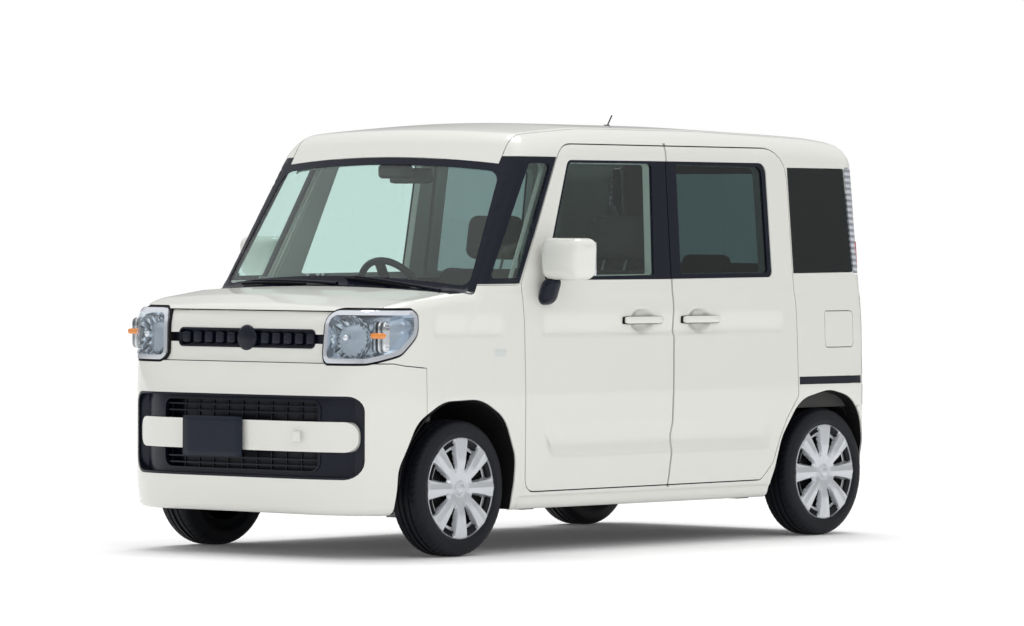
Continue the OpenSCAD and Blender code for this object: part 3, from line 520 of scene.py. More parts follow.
DASH = finish_of("dash_plastic", (0.035, 0.034, 0.034), 0.55, 0.0, 0.0, 0.15, 500.0, 0.0003)
TRIM = finish_of("cabin_trim", (0.60, 0.60, 0.57), 0.8, 0.0, 0.0, 0.05, 300.0, 0.0003)
DARK_TRIM = finish_of("door_trim", (0.045, 0.043, 0.042), 0.7, 0.0, 0.0, 0.15, 300.0, 0.0003)
UNDER = finish_of("under_steel", (0.006, 0.006, 0.007), 0.6, 0.0, 0.0, 0.3, 25.0, 0.0006, sheen=0.2)
CAST = finish_of("cast_metal", (0.30, 0.30, 0.31), 0.5, 0.8, 0.0, 0.3, 70.0, 0.001)
PIPE = finish_of("pipe_steel", (0.22, 0.20, 0.18), 0.4, 0.9, 0.0, 0.3, 40.0, 0.0004)
TYRE = finish_of("tyre_rubber", (0.006, 0.007, 0.011), 0.55, 0.0, 0.0, 0.2, 250.0, 0.0003, sheen=0.25)
COVER = finish_of("cover_silver", (0.62, 0.64, 0.67), 0.32, 0.65, 0.3, 0.03, 700.0)
GRIP = finish_of("grip_black", (0.020, 0.020, 0.021), 0.5, 0.0, 0.1, 0.2, 400.0, 0.0003)

# ---------------------------------------------------------------- outlines, millimetres
FRONT_DOOR = outline((-722, 252, 60), (228, 254, 3), (235, 330, 80), (255, 430, 60), (252, 540, 80),
                     (278, 1146, 300), (300, 1689, 3), (-399, 1689, 130), (-722, 1110, 40))
SLIDE_DOOR = outline((234, 254, 3), (880, 256, 40), (960, 330, 80), (1010, 440, 100),
                     (1062, 525, 60), (1138, 612, 30), (1131, 1148, 200), (1141, 1689, 140),
                     (306, 1689, 3), (284, 1146, 300), (258, 540, 80), (261, 430, 60), (241, 330, 80))
DOOR_FRAME = outline((-572, 1122, 12), (330, 1124), (330, 1624), (-361, 1622, 35))
DOOR_GLASS = outline((-550, 1134, 10), (166, 1142, 12), (203, 1612, 18), (-349, 1611, 30))
SLIDE_FRAME = outline((230, 1124), (985, 1130, 28), (995, 1624, 45), (230, 1624))
SLIDE_GLASS = outline((350, 1144, 10), (958, 1148, 22), (966, 1606, 34), (370, 1612, 15))
CORNER_FRAME = outline((-1200, 1106), (-731, 1108), (-424, 1634), (-1200, 1634))
CORNER_GLASS = outline((-918, 1130, 14), (-736, 1132, 10), (-470, 1606, 16), (-612, 1606, 16))
QUARTER = outline((1137, 1146), (1574, 1150, 8), (1560, 1606, 10), (1146, 1606))
TAIL_LAMP = outline((1577, 1144, 10), (1760, 1144), (1760, 1608), (1563, 1608, 12))
FRONT_ARCH = outline((-799, 60), (-792, 254, 60), (-781, 400, 160), (-850, 560, 160), (-1000, 640, 260),
                     (-1240, 634, 200), (-1390, 555, 150), (-1480, 367, 160), (-1500, 60))
REAR_ARCH = outline((930, 60), (952, 250, 60), (1020, 440, 240), (1150, 600, 200), (1360, 640, 240),
                    (1560, 600, 180), (1640, 360, 150), (1650, 60))
LAMP_FRONT = outline((426, 786, 46), (2000, 786), (2000, 1004), (436, 1004, 55))
LAMP_SIDE = outline((-1760, 786), (-1590, 790, 60), (-1470, 826, 70), (-1388, 905, 70),
                    (-1384, 985, 30), (-1412, 1006, 20), (-1760, 1006))
SHIELD = outline((-702, 8, 20), (702, 8, 20), (622, 646, 30), (-622, 646, 30))
SHIELD_GLASS = outline((-668, 62, 40), (668, 62, 40), (592, 612, 60), (-592, 612, 60))
MOUTH = outline((-625, 322, 75), (625, 322, 75), (625, 658, 60), (-625, 658, 60))
HOOD = outline((-640, -1790), (640, -1790), (640, -1149, 20), (-640, -1149, 20))
TAIL_DOOR = outline((-636, 572, 30), (636, 572, 30), (636, 1700, 60), (-636, 1700, 60))
TAIL_GLASS = outline((-585, 1136, 40), (585, 1136, 40), (540, 1636, 50), (-540, 1636, 50))
FUEL_LID = outline((1337, 824, 18), (1540, 824, 18), (1540, 980, 18), (1337, 980, 18))
SLOT = outline((-374, 846, 22), (374, 846, 22), (374, 924, 22), (-374, 924, 22))
SLOT_ENDS = outline((-460, 866), (460, 866), (460, 904), (-460, 904))
LAMP_GAP, PANEL_GAP = 9, 2.6


def left(points, low=0.25, high=0.95):
    return prism("side", points, low, high)


def lamp_zone(grow, both=True):
    """The room of a headlight: its front outline where it meets its side outline."""
    made = prism("front", grown(LAMP_FRONT, grow), -1.9, -1.3)
    combine(made, prism("side", grown(LAMP_SIDE, grow), -0.1, 0.9), "INTERSECT")
    return made


# ---------------------------------------------------------------- body panels
SHIELD_CUT = prism("shield", grown(SHIELD, 3), -0.22, 0.1)
LAMP_LEFT = lamp_zone(LAMP_GAP)
LAMP_RIGHT = other_side(LAMP_LEFT)
FRONT_ARCHES = prism("side", FRONT_ARCH, 0.45, 0.9)
REAR_ARCHES = prism("side", REAR_ARCH, 0.45, 0.9)
SKIN = 0.018
TAIL_SEAM_Y, BUMPER_SEAM_Y, LAMP_TOP_Z, NOSE_LINE_Z = 1602.5, -1338, 790, 1000


def side_panel():
    """The side frame: cant rail, quarter panel and sill."""
    room = block(579, 900, -1250, TAIL_SEAM_Y + 100, 100, 1900)
    cuts = [block(0, 900, -1300, -741, 100, 1104), block(0, 641, TAIL_SEAM_Y - 6, 1800, 0, 1900),
            left(grown(FRONT_DOOR, PANEL_GAP)), left(grown(SLIDE_DOOR, PANEL_GAP)),
            left(CORNER_FRAME), left(QUARTER), left(grown(TAIL_LAMP, 3), 0.5), REAR_ARCHES,
            block(0, 900, 1563, 1800, 0, 567), SHIELD_CUT, left(grown(FUEL_LID, 3)),
            block(700, 900, 1146, 1622, 663, 697)]
    thin = prism("side", outline((226, 246), (243, 246), (316, 1700), (299, 1700)), 0.3, 0.9)
    return shell(0, SKIN, [room], cuts + [thin], fine=True)


def rear_corner():
    return shell(0, SKIN, [block(639, 900, 1600, 1800, 567, 1900)],
                 [left(grown(TAIL_LAMP, 3), 0.5)], fine=True)


place_pair(side_panel(), "side_panel", "body", PAINT, "paint", ["side_frame_{side}"])

ROOF = shell(0, SKIN, [block(-574, 574, -1000, TAIL_SEAM_Y + 90, 1400, 1900)],
             [SHIELD_CUT, prism("front", grown(TAIL_DOOR, 3), 1.600, 1.9)], fine=True)
place(ROOF, "roof_panel", "body", PAINT, "paint", ["roof"])
place_pair(shell(0.006, 0.012, [block(560, 592, -900, 1640, 1500, 1900)], [SHIELD_CUT]),
           "roof_seam", "body", RUBBER_SEAL)


def fender():
    outline_side = outline((-741, 120), (-741, 1102), (-1800, 1102), (-1800, 791), (-1500, 791),
                           (-1450, 782), (BUMPER_SEAM_Y + 2, 772), (BUMPER_SEAM_Y + 2, 120))
    return shell(0, SKIN, [left(outline_side, 0.3)],
                 [FRONT_ARCHES, LAMP_LEFT, block(0, 643.5, -1800, -1146, 900, 1200),
                  block(0, 643.5, -1800, -1500, 100, 1200), block(0, 690, -1149, -700, 900, 1104),
                  SHIELD_CUT, left(CORNER_FRAME)], fine=True)


place_pair(fender(), "fender", "body", PAINT, "paint", ["front_fenders"])


def arch_liner(points, name):
    """A dark strip round the inside of a wheel arch."""
    strip = prism("side", grown(points, 1.5), 0.56, 0.9)
    combine(strip, prism("side", grown(points, -5), 0.5, 0.95), "DIFFERENCE")
    combine(strip, block(0, 900, -1800, 1800, 185, 1200), "INTERSECT")
    place_pair(combine(copy_of(strip), solid(0.006), "INTERSECT"), name, "body", RUBBER_SEAL)


arch_liner(FRONT_ARCH, "front_arch_liner")
arch_liner(REAR_ARCH, "rear_arch_liner")

BUMPER_SIDE = outline((-1800, 100), (BUMPER_SEAM_Y - 2, 100), (BUMPER_SEAM_Y - 2, 768),
                      (-1450, 778), (-1500, 790 - 3), (-1800, 790 - 3))
BUMPER = shell(0, 0.030, [prism("side", BUMPER_SIDE, -0.9, 0.9)],
               [prism("front", MOUTH, -1.8, -1.3), FRONT_ARCHES, other_side(FRONT_ARCHES), LAMP_LEFT,
                LAMP_RIGHT], fine=True)
place(BUMPER, "bumper_front", "body", PAINT, "paint", ["front_bumper"])

HOOD_PANEL = shell(0, 0.020, [prism("top", HOOD, 0.9, 1.3)],
                   [LAMP_LEFT, LAMP_RIGHT, block(-700, 700, -1800, -1500, 0, NOSE_LINE_Z)], fine=True)
place(HOOD_PANEL, "hood_panel", "hood", PAINT, "paint", ["hood"])

NOSE_PANEL = shell(0.010, 0.024, [block(-520, 520, -1800, -1450, LAMP_TOP_Z, NOSE_LINE_Z - 5)],
                   [lamp_zone(2), other_side(lamp_zone(2)), prism("front", SLOT, -1.8, -1.3),
                    prism("front", SLOT_ENDS, -1.8, -1.3)])
place(NOSE_PANEL, "nose_panel", "body", PAINT, "paint", ["front_panel"])

GRILLE_BACK = shell(0.030, 0.034, [block(-520, 520, -1800, -1450, LAMP_TOP_Z + 20, NOSE_LINE_Z - 40)],
                    [lamp_zone(0), other_side(lamp_zone(0))])
place(GRILLE_BACK, "grille_back", "body", GRILLE, "grille_black")
SLOT_RIM = shell(0.007, 0.030, [prism("front", SLOT, -1.8, -1.3)],
                 [prism("front", grown(SLOT, -7), -1.8, -1.3),
                  prism("front", SLOT_ENDS, -1.8, -1.3)])
place(SLOT_RIM, "grille_rim", "body", GRILLE, "grille_black")
NOSE_BACK = shell(0.050, 0.056, [block(-640, 640, -1800, -1400, 690, 985)])
place(NOSE_BACK, "nose_back", "body", RUBBER_SEAL)

COWL = shell(0.004, 0.020, [block(-690, 690, -1146, -900, 1000, 1140)], [SHIELD_CUT])
place(COWL, "cowl_panel", "body", BLACK, "black_trim", ["cowl"])

FRONT_PANE = shell(0.0035, 0.0085, [prism("shield", SHIELD, -0.22, 0.1)])
place(FRONT_PANE, "windshield_pane", "body", CLEAR, "clear_glass", ["windshield"])
FRIT = shell(0.0015, 0.0030, [prism("shield", SHIELD, -0.22, 0.1)],
             [prism("shield", SHIELD_GLASS, -0.22, 0.1)])
place(FRIT, "windshield_border", "body", BLACK, "black_trim")

# ---------------------------------------------------------------- doors and side glass
FRONT_DOOR_IN, SLIDE_DOOR_IN = grown(FRONT_DOOR, -PANEL_GAP), grown(SLIDE_DOOR, -PANEL_GAP)
place_pair(shell(0, SKIN, [left(FRONT_DOOR_IN)], [left(DOOR_FRAME)], fine=True),
           "front_door_panel", "front_door_{side}", PAINT, "paint", ["front_door_{side}"])
place_pair(shell(0, SKIN, [left(SLIDE_DOOR_IN)], [left(SLIDE_FRAME)], fine=True),
           "sliding_door_panel", "body", PAINT, "paint", ["sliding_doors"])
DOOR_SPLIT_REAR = outline((277, 1100), (400, 1100), (400, 1700), (300, 1700))
place_pair(shell(0.004, SKIN, [left(grown(DOOR_FRAME, -1))], [left(DOOR_GLASS), left(DOOR_SPLIT_REAR)]),
           "front_door_frame", "front_door_{side}", BLACK, "black_trim")
place_pair(shell(0.004, SKIN, [left(grown(SLIDE_FRAME, -1))],
                 [left(SLIDE_GLASS), left(outline((200, 1100), (283, 1100), (304, 1700), (200, 1700)))]),
           "sliding_door_frame", "body", BLACK, "black_trim")
place_pair(shell(0.009, 0.013, [left(grown(DOOR_GLASS, 6))]), "front_door_pane",
           "front_door_{side}", CLEAR, "clear_glass", ["door_window_{side}"])
place_pair(shell(0.009, 0.013, [left(grown(SLIDE_GLASS, 6))]), "sliding_door_pane", "body",
           PRIVACY, "privacy_glass", ["side_windows"])
place_pair(shell(0.002, SKIN, [left(grown(CORNER_FRAME, -2), 0.3)],
                 [left(CORNER_GLASS), prism("shield", SHIELD, -0.097, 0.1),
                  left(grown(FRONT_DOOR, PANEL_GAP + 1))]),
           "corner_frame", "body", BLACK, "black_trim")
place_pair(shell(0.007, 0.011, [left(grown(CORNER_GLASS, 6))]), "corner_pane", "body",
           CLEAR, "clear_glass")
place_pair(shell(0.003, 0.008, [left(grown(QUARTER, -2.5))]), "quarter_pane", "body", PRIVACY,
           "privacy_glass")
place_pair(shell(0.0085, 0.016, [left(grown(QUARTER, -2.5))], [left(grown(QUARTER, -32))]),
           "quarter_border", "body", BLACK, "black_trim")
# door linings: dark below the belt, pale above it
BELT_Z = 1118
for label, body, door, glass in (("front_door", "front_door_{side}", FRONT_DOOR_IN, DOOR_GLASS),
                                 ("sliding_door", "body", SLIDE_DOOR_IN, SLIDE_GLASS)):
    over_belt = block(0, 900, -1300, 1400, BELT_Z, 1900)
    place_pair(shell(SKIN + 0.0005, 0.052, [left(grown(door, -12))],
                     [left(grown(glass, -4)), over_belt]),
               f"{label}_lining", body, DARK_TRIM, "dash_plastic")
    place_pair(shell(SKIN + 0.0005, 0.050, [left(grown(door, -12))],
                     [left(grown(glass, -4)), block(0, 900, -1300, 1400, 0, BELT_Z + 0.5)]),
               f"{label}_frame_trim", body, TRIM)
place_pair(shell(0.006, 0.016, [left(outline((1149, 665), (1620, 665), (1620, 695), (1149, 695)), 0.5)]),
           "slide_rail", "body", BLACK, "black_trim")
place(shell(0, 0.010, [left(grown(FUEL_LID, -0.5))]), "fuel_flap", "fuel_lid", PAINT, "paint",
      ["fuel_lid"])

# cabin lining: pale above the belt, dark below
CABIN_CUTS = [SHIELD_CUT, left(FRONT_DOOR, -0.95), left(SLIDE_DOOR, -0.95),
              left(grown(CORNER_GLASS, 4), -0.95), left(grown(QUARTER, -30), -0.95),
              prism("front", grown(TAIL_DOOR, -10), 1.5, 1.9)]
place(shell(0.054, 0.060, [block(-760, 760, -1100, 1680, 1118, 1900)], CABIN_CUTS), "headliner",
      "body", TRIM)
place(shell(0.054, 0.060, [block(-760, 760, 1000, 1680, 560, 1117)], CABIN_CUTS), "luggage_lining",
      "body", DARK_TRIM)

# ---------------------------------------------------------------- tail
place_pair(rear_corner(), "rear_corner", "body", PAINT, "paint")
place_pair(shell(0.0, 0.045, [left(grown(TAIL_LAMP, -1), 0.5)],
                 [block(0, 640, 1500, 1800, 0, 1900), block(0, 900, 1628, 1800, 1292, 1304),
                  block(0, 900, 1400, 1800, 1100, 1146)]),
           "tail_lamp", "body", TAIL, "tail_lens", ["taillights"])
place_pair(shell(-0.003, 0.001, [block(648, 690, 1600, 1800, 1170, 1285)]), "tail_lamp_red", "body",
           RED, "tail_lens")
place_pair(combine(block(636.8, 639.6, 1560, 1760, 1140, 1610), solid(0.003), "INTERSECT"),
           "tail_lamp_back", "body", DARK_TRIM)
TAIL_PANEL = shell(0, 0.020, [prism("front", TAIL_DOOR, 1.6045, 1.9)],
                   [prism("front", TAIL_GLASS, 1.5, 1.9),
                    prism("front", outline((-190, 800, 25), (190, 800, 25), (190, 960, 25),
                                           (-190, 960, 25)), 1.5, 1.9)], fine=True)
place(TAIL_PANEL, "tailgate_panel", "tailgate", PAINT, "paint", ["tailgate"])
place(shell(0.002, 0.007, [prism("front", grown(TAIL_GLASS, -2), 1.5, 1.9)]), "tailgate_pane",
      "tailgate", PRIVACY, "privacy_glass", ["tailgate_window"])
place(shell(0.0075, 0.020, [prism("front", grown(TAIL_GLASS, -2), 1.5, 1.9)],
            [prism("front", grown(TAIL_GLASS, -45), 1.5, 1.9)]), "tailgate_border", "tailgate",
      BLACK, "black_trim")
place(shell(0.0205, 0.045, [prism("front", grown(TAIL_DOOR, -20), 1.6045, 1.9)],
            [prism("front", grown(TAIL_GLASS, -50), 1.5, 1.9)]), "tailgate_lining", "tailgate",
      DARK_TRIM, "dash_plastic")
place(shell(0.014, 0.020, [prism("front", outline((-186, 804, 22), (186, 804, 22), (186, 956, 22),
                                                  (-186, 956, 22)), 1.5, 1.9)]),
      "rear_plate_recess", "tailgate", PAINT, "paint")
place(shell(0.004, 0.012, [prism("front", outline((-165, 812, 6), (165, 812, 6), (165, 930, 6),
                                                  (-165, 930, 6)), 1.5, 1.9)]), "rear_plate",
      "tailgate", PLATE, "plate_blue")
place(shell(-0.012, 0.014, [prism("front", outline((-200, 962, 12), (200, 962, 12), (200, 998, 14),
                                                   (-200, 998, 14)), 1.5, 1.9)]), "tailgate_handle",
      "tailgate", PAINT, "paint")
REAR_BUMPER = shell(0, 0.025, [prism("side", outline((1566, 100), (1800, 100), (1800, 564),
                                                     (1566, 564)), -0.9, 0.9)],
                    [REAR_ARCHES, other_side(REAR_ARCHES)], fine=True)
place(REAR_BUMPER, "bumper_rear", "body", PAINT, "paint", ["rear_bumper"])
place_pair(shell(-0.004, 0.006, [prism("front", outline((470, 430, 14), (640, 430, 14),
                                                       (640, 466, 14), (470, 466, 14)), 1.5, 1.9)]),
           "rear_reflector", "body", RED, "tail_lens")


# ---------------------------------------------------------------- free-form shapes
def soft_block(name, centre, size, radius, cells=12, shape=None, tilt=0.0):
    """A rounded block as a grid of quads; shape(points) may bend it before it is tilted about x."""
    half = np.array(size) / 2 * MM
    radius = min(radius * MM, *half)
    line = np.linspace(-1, 1, cells + 1)
    points, faces, seen = [], [], {}
    for axis in range(3):
        for sign in (-1, 1):
            grid = np.empty((cells + 1, cells + 1), int)
            for i, a in enumerate(line):
                for j, b in enumerate(line):
                    cube = np.empty(3)
                    cube[axis], cube[(axis + 1) % 3], cube[(axis + 2) % 3] = sign, a, b
                    key = tuple(np.round(cube, 5))
                    if key not in seen:
                        seen[key] = len(points)
                        points.append(cube * half)
                    grid[i, j] = seen[key]
            for i in range(cells):
                for j in range(cells):
                    quad = [grid[i, j], grid[i + 1, j], grid[i + 1, j + 1], grid[i, j + 1]]
                    faces.append(quad if sign > 0 else quad[::-1])
    points = np.array(points)
    core = np.clip(points, -(half - radius), half - radius)
    away = points - core
    size_away = np.linalg.norm(away, axis=1, keepdims=True)
    points = core + away / np.maximum(size_away, 1e-9) * np.minimum(size_away, radius)
    if shape:
        points = shape(points)
    turn = np.array(Matrix.Rotation(math.radians(tilt), 3, "X"))
    made = new_object(name, points @ turn.T + np.array(centre) * MM, faces)
    return smooth(made, 60)


def revolve(name, rings, steps=96, shape=None):
    """Rings of (radius, x) in millimetres turned about the x axis; shape(points, angle) may edit."""
    angle = np.arange(steps) * 2 * math.pi / steps
    rings = np.array(rings, float) * MM
    radius = rings[:, None, 0] * np.ones(steps)
    x = rings[:, None, 1] * np.ones(steps)
    points = np.stack([x, radius * np.cos(angle), radius * np.sin(angle)], -1).reshape(-1, 3)
    around = np.tile(angle, len(rings))
    if shape:
        points = shape(points, around)
    faces = []
    for i in range(len(rings) - 1):
        for j in range(steps):
            k = (j + 1) % steps
            faces.append([i * steps + j, (i + 1) * steps + j, (i + 1) * steps + k, i * steps + k])
    return smooth(new_object(name, points, faces), 40)


def tube(name, path, radius, sides=10):
    """A round bar along a path of points in millimetres, closed at both ends."""
    path = np.array(path, float) * MM
    points, faces = [], []
    for i, here in enumerate(path):
        along = path[min(i + 1, len(path) - 1)] - path[max(i - 1, 0)]
        along /= np.linalg.norm(along)
        side = np.cross(along, (0, 0, 1) if abs(along[2]) < 0.9 else (1, 0, 0))
        side /= np.linalg.norm(side)
        up = np.cross(side, along)
        width = (radius[i] if hasattr(radius, "__len__") else radius) * MM
        for k in range(sides):
            a = 2 * math.pi * k / sides
            points.append(here + width * (math.cos(a) * side + math.sin(a) * up))
        if i:
            for k in range(sides):
                m = (k + 1) % sides
                faces.append([(i - 1) * sides + k, (i - 1) * sides + m, i * sides + m, i * sides + k])
    faces.append(list(range(sides)))
    faces.append(list(range(len(points) - 1, len(points) - sides - 1, -1)))
    return smooth(new_object(name, points, faces), 50)


# ---------------------------------------------------------------- wheels
COVER_R, TREADS = 208.0, 60
TYRE_RINGS = [(176, -58), (190, -62), (204, -67), (214, -74), (224, -76.5), (235, -77.2), (238, -76.2), (241, -77),
              (256, -74), (266, -69), (270.5, -64), (274, -58), (276.5, -50), (277.8, -40), (278, -31),
              (271, -30), (271, -24), (278.4, -23), (278.5, -8), (271, -7), (271, 0)]
TYRE_RINGS += [(r, -x) for r, x in TYRE_RINGS[-2::-1]]


def tread(points, angle):
    """Cuts across the shoulders and a faint ring of ribs on the side walls."""
    radius = np.hypot(points[:, 1], points[:, 2])
    wave = np.sin(angle * TREADS + points[:, 0] * 120)
    shoulder = smoothstep(0.262, 0.2745, radius) * smoothstep(0.029, 0.034, np.abs(points[:, 0]))
    sink = 0.0035 * smoothstep(0.55, 0.9, wave) * shoulder
    points[:, 1:] *= (1 - sink / radius)[:, None]
    return points


def tyre(name, x, y, z):
    made = revolve(name, TYRE_RINGS, TREADS * 6, tread)
    made.data.transform(Matrix.Translation((x, y, z)))
    return made


SPOKES, SLOT_START, SLOT_END = 8, 0.072, 0.201


def slot_depth(radius, angle):
    """How deep each wheel slot is here, from 0 to 1, and how far inside the slot."""
    step = 2 * math.pi / SPOKES
    local = angle % step - step / 2
    across, along = np.abs(radius * np.sin(local)), radius * np.cos(local)
    share = np.clip((along - SLOT_START) / (SLOT_END - SLOT_START), 0, 1)
    width = 0.010 + 0.031 * share ** 0.9
    inside = np.minimum(width - across, np.minimum(along - SLOT_START, SLOT_END + 0.004 - radius))
    return inside, along


def wheel_cover(name, x, y, z, out):
    """A silver cover: eight flared spokes, sunk slots between them, open in their inner half."""
    radii = np.concatenate([np.linspace(0.001, 0.024, 4), np.linspace(0.026, COVER_R * MM, 44)])
    steps = 384
    angle = np.arange(steps) * 2 * math.pi / steps
    rr, aa = np.meshgrid(radii, angle, indexing="ij")
    inside, along = slot_depth(rr, aa)
    dome = 0.080 - 0.005 * (rr / 0.208) ** 2 - 0.012 * smoothstep(0.12, 0.035, rr)
    dome += 0.006 * smoothstep(0.030, 0.026, rr) - 0.006 * smoothstep(0.202, 0.208, rr)
    step = 2 * math.pi / SPOKES
    from_spoke = np.abs((aa + step / 2) % step - step / 2) * rr
    dome += 0.003 * np.maximum(0, 1 - from_spoke / 0.022) * smoothstep(0.035, 0.07, rr)
    sunk = smoothstep(-0.0005, 0.009, inside)
    depth = 0.017 * sunk * smoothstep(SLOT_START - 0.01, 0.12, rr)
    depth = depth + 0.006 * sunk
    points = np.stack([(dome - depth), rr * np.cos(aa), rr * np.sin(aa)], -1).reshape(-1, 3)
    hole = (inside > 0.0075) & (along > 0.085) & (rr < 0.165)
    faces = []
    for i in range(len(radii) - 1):
        for j in range(steps):
            k = (j + 1) % steps
            corner = [(i, j), (i + 1, j), (i + 1, k), (i, k)]
            if not all(hole[c] for c in corner):
                faces.append([a * steps + b for a, b in corner])
    made = new_object(name, points, faces)
    if out < 0:
        made.data.transform(Matrix.Rotation(math.pi, 4, "Z"))
    made.data.transform(Matrix.Translation((x, y, z)))
    thick = made.modifiers.new("thick", "SOLIDIFY")
    thick.thickness, thick.offset = 0.003, -1
    return smooth(made, 50)


WHEELS = {"front_left": (647.5, -1107.5), "front_right": (-647.5, -1107.5),
          "rear_left": (650, 1352.5), "rear_right": (-650, 1352.5)}
AXLE_Z = 278.5
for corner, (wheel_x, wheel_y) in WHEELS.items():
    out = 1 if wheel_x > 0 else -1
    middle = (wheel_x * MM, wheel_y * MM, AXLE_Z * MM)
    body = f"wheel_{corner}"
    place(tyre(f"tyre_{corner}_piece", *middle), f"tyre_{corner}_piece", body, TYRE, "tyre_rubber",
          [f"tyre_{corner}"])
    place(wheel_cover(f"cover_{corner}", *middle, out), f"cover_{corner}", body, COVER,
          "cover_silver", [f"rim_{corner}"])
    back = revolve(f"rim_back_{corner}", [(1, 38), (60, 38), (62, 44), (150, 30), (176, 44),
                                          (188, 60), (186, 66), (178, 66), (172, 40), (172, -66),
                                          (182, -68)], 64)
    if out < 0:
        back.data.transform(Matrix.Rotation(math.pi, 4, "Z"))
    back.data.transform(Matrix.Translation(middle))
    place(back, f"rim_back_{corner}", body, UNDER, "under_steel")
    hub = revolve(f"hub_cap_{corner}", [(0.5, 77), (14, 76.5), (19, 75), (21, 72), (21, 64)], 48)
    if out < 0:
        hub.data.transform(Matrix.Rotation(math.pi, 4, "Z"))
    hub.data.transform(Matrix.Translation(middle))
    place(hub, f"hub_cap_{corner}", body, COVER, "cover_silver")

# ---------------------------------------------------------------- headlights
LAMP_SHRINK = -20


def headlight():
    zone, inner = lamp_zone(-1), lamp_zone(LAMP_SHRINK)
    rim = shell(-0.004, 0.050, [zone], [inner])
    lens = shell(-0.003, 0.0005, [lamp_zone(LAMP_SHRINK + 1)])
    gap = shell(0.003, 0.040, [lamp_zone(LAMP_GAP + 1)], [lamp_zone(-0.5)])
    bowl = shell(0.044, 0.049, [inner])
    return rim, lens, gap, bowl


rim, lens, gap, bowl = headlight()
place_pair(rim, "lamp_surround", "body", SILVER, "lamp_lens", ["headlights"])
place_pair(lens, "lamp_lens_pane", "body", LENS, "lamp_lens")
place_pair(gap, "lamp_seal", "body", RUBBER_SEAL)
place_pair(bowl, "lamp_bowl", "body", BOWL, "lamp_lens")


def bowl_shape(points, angle):
    """Vertical flutes in the headlight's reflector."""
    points[:, 0] += 0.0042 * np.sin(angle * 18) * smoothstep(0.02, 0.07, np.hypot(points[:, 1],
                                                                              points[:, 2]))
    return points


def reflector():
    rings = [(4, -46), (22, -45), (40, -40), (58, -31), (74, -18), (84, -5), (87, 0), (90, 0), (90, -8)]
    made = revolve("reflector", rings, 132, bowl_shape)
    made.data.transform(Matrix.Diagonal((1, 1.08, 0.98, 1)))
    made.data.transform(Matrix.Rotation(math.radians(-90), 4, "Z"))
    made.data.transform(Matrix.Rotation(math.radians(8), 4, "Z"))
    made.data.transform(Matrix.Translation((0.545, -1.592, 0.893)))
    return made


place_pair(reflector(), "lamp_reflector", "body", REFLECTOR, "lamp_lens")
BULB = soft_block("lamp_bulb", (545, -1612, 893), (26, 40, 26), 12, 8)
place_pair(BULB, "lamp_bulb", "body", BOWL, "lamp_lens")
place_pair(soft_block("lamp_amber", (668, -1560, 902), (60, 48, 24), 10, 8), "lamp_amber", "body",
           AMBER, "lamp_lens")
place_pair(soft_block("lamp_pod", (664, -1540, 896), (70, 46, 128), 20, 10), "lamp_pod", "body",
           REFLECTOR, "lamp_lens")

# ---------------------------------------------------------------- nose details
BAR = outline((-596, 432, 52), (596, 432, 52), (596, 554, 52), (-596, 554, 52))
place(shell(0.012, 0.035, [prism("front", BAR, -1.8, -1.3)], fine=True), "bumper_bar", "body", PAINT,
      "paint", ["lower_grille"])
MOUTH_LINING = shell(0.004, 0.060, [prism("front", grown(MOUTH, 3), -1.8, -1.3)],
                     [prism("front", grown(MOUTH, -9), -1.8, -1.3)])
place(MOUTH_LINING, "mouth_lining", "body", GRILLE, "grille_black")
place(copy_of(prism("front", grown(MOUTH, -6), -1.586, -1.580)), "mouth_back", "body", GRILLE,
      "grille_black")
INNER_MOUTH = outline((-430, 345, 50), (430, 345, 50), (430, 640, 40), (-430, 640, 40))
place(shell(0.030, 0.050, [prism("front", INNER_MOUTH, -1.8, -1.3)],
            [prism("front", grown(INNER_MOUTH, -9), -1.8, -1.3)]), "mouth_frame", "body", GRILLE,
      "grille_black")
place(shell(0.034, 0.056, [prism("front", grown(MOUTH, -4), -1.8, -1.3)],
            [prism("front", grown(INNER_MOUTH, -2), -1.8, -1.3)]), "mouth_cheeks", "body", BLACK,
      "black_trim")
for row, bar_z in enumerate((372, 398, 585, 612)):
    strip = outline((-424, bar_z - 3), (424, bar_z - 3), (424, bar_z + 3), (-424, bar_z + 3))
    place(shell(0.040, 0.056, [prism("front", strip, -1.8, -1.3)]), f"mouth_slat_{row}", "body",
          GRILLE, "grille_black")
for column in range(11):
    bar_x = -400 + 80 * column
    strip = outline((bar_x - 2.5, 350), (bar_x + 2.5, 350), (bar_x + 2.5, 636), (bar_x - 2.5, 636))
    place(shell(0.052, 0.060, [prism("front", strip, -1.8, -1.3)]), f"mouth_post_{column}", "body",
          GRILLE, "grille_black")
place(soft_block("number_plate", (-112, -1694, 484.5), (326, 10, 164), 4, 8), "number_plate", "body",
      PLATE, "plate_blue", ["front_plate"])
place(soft_block("tow_cover", (338, -1687.5, 494), (44, 4, 44), 8, 8), "tow_cover", "body", PAINT,
      "paint")
for row in range(12):
    tooth_x = -341 + 62 * row
    if abs(tooth_x) < 60:
        continue
    place(soft_block(f"grille_tooth_{row}", (tooth_x, -1598, 885), (44, 26, 52), 12, 8),
          f"grille_tooth_{row}", "body", GRILLE, "grille_black")
EMBLEM = revolve("emblem_place", [(0.5, 1), (40, 0), (50, -4), (53, -9), (53, -24)], 64)
EMBLEM.data.transform(Matrix.Rotation(math.radians(-90), 4, "Z"))
EMBLEM.data.transform(Matrix.Translation((0, -1.6190, 0.885)))
place(EMBLEM, "emblem_place", "body", GRILLE, "grille_black")

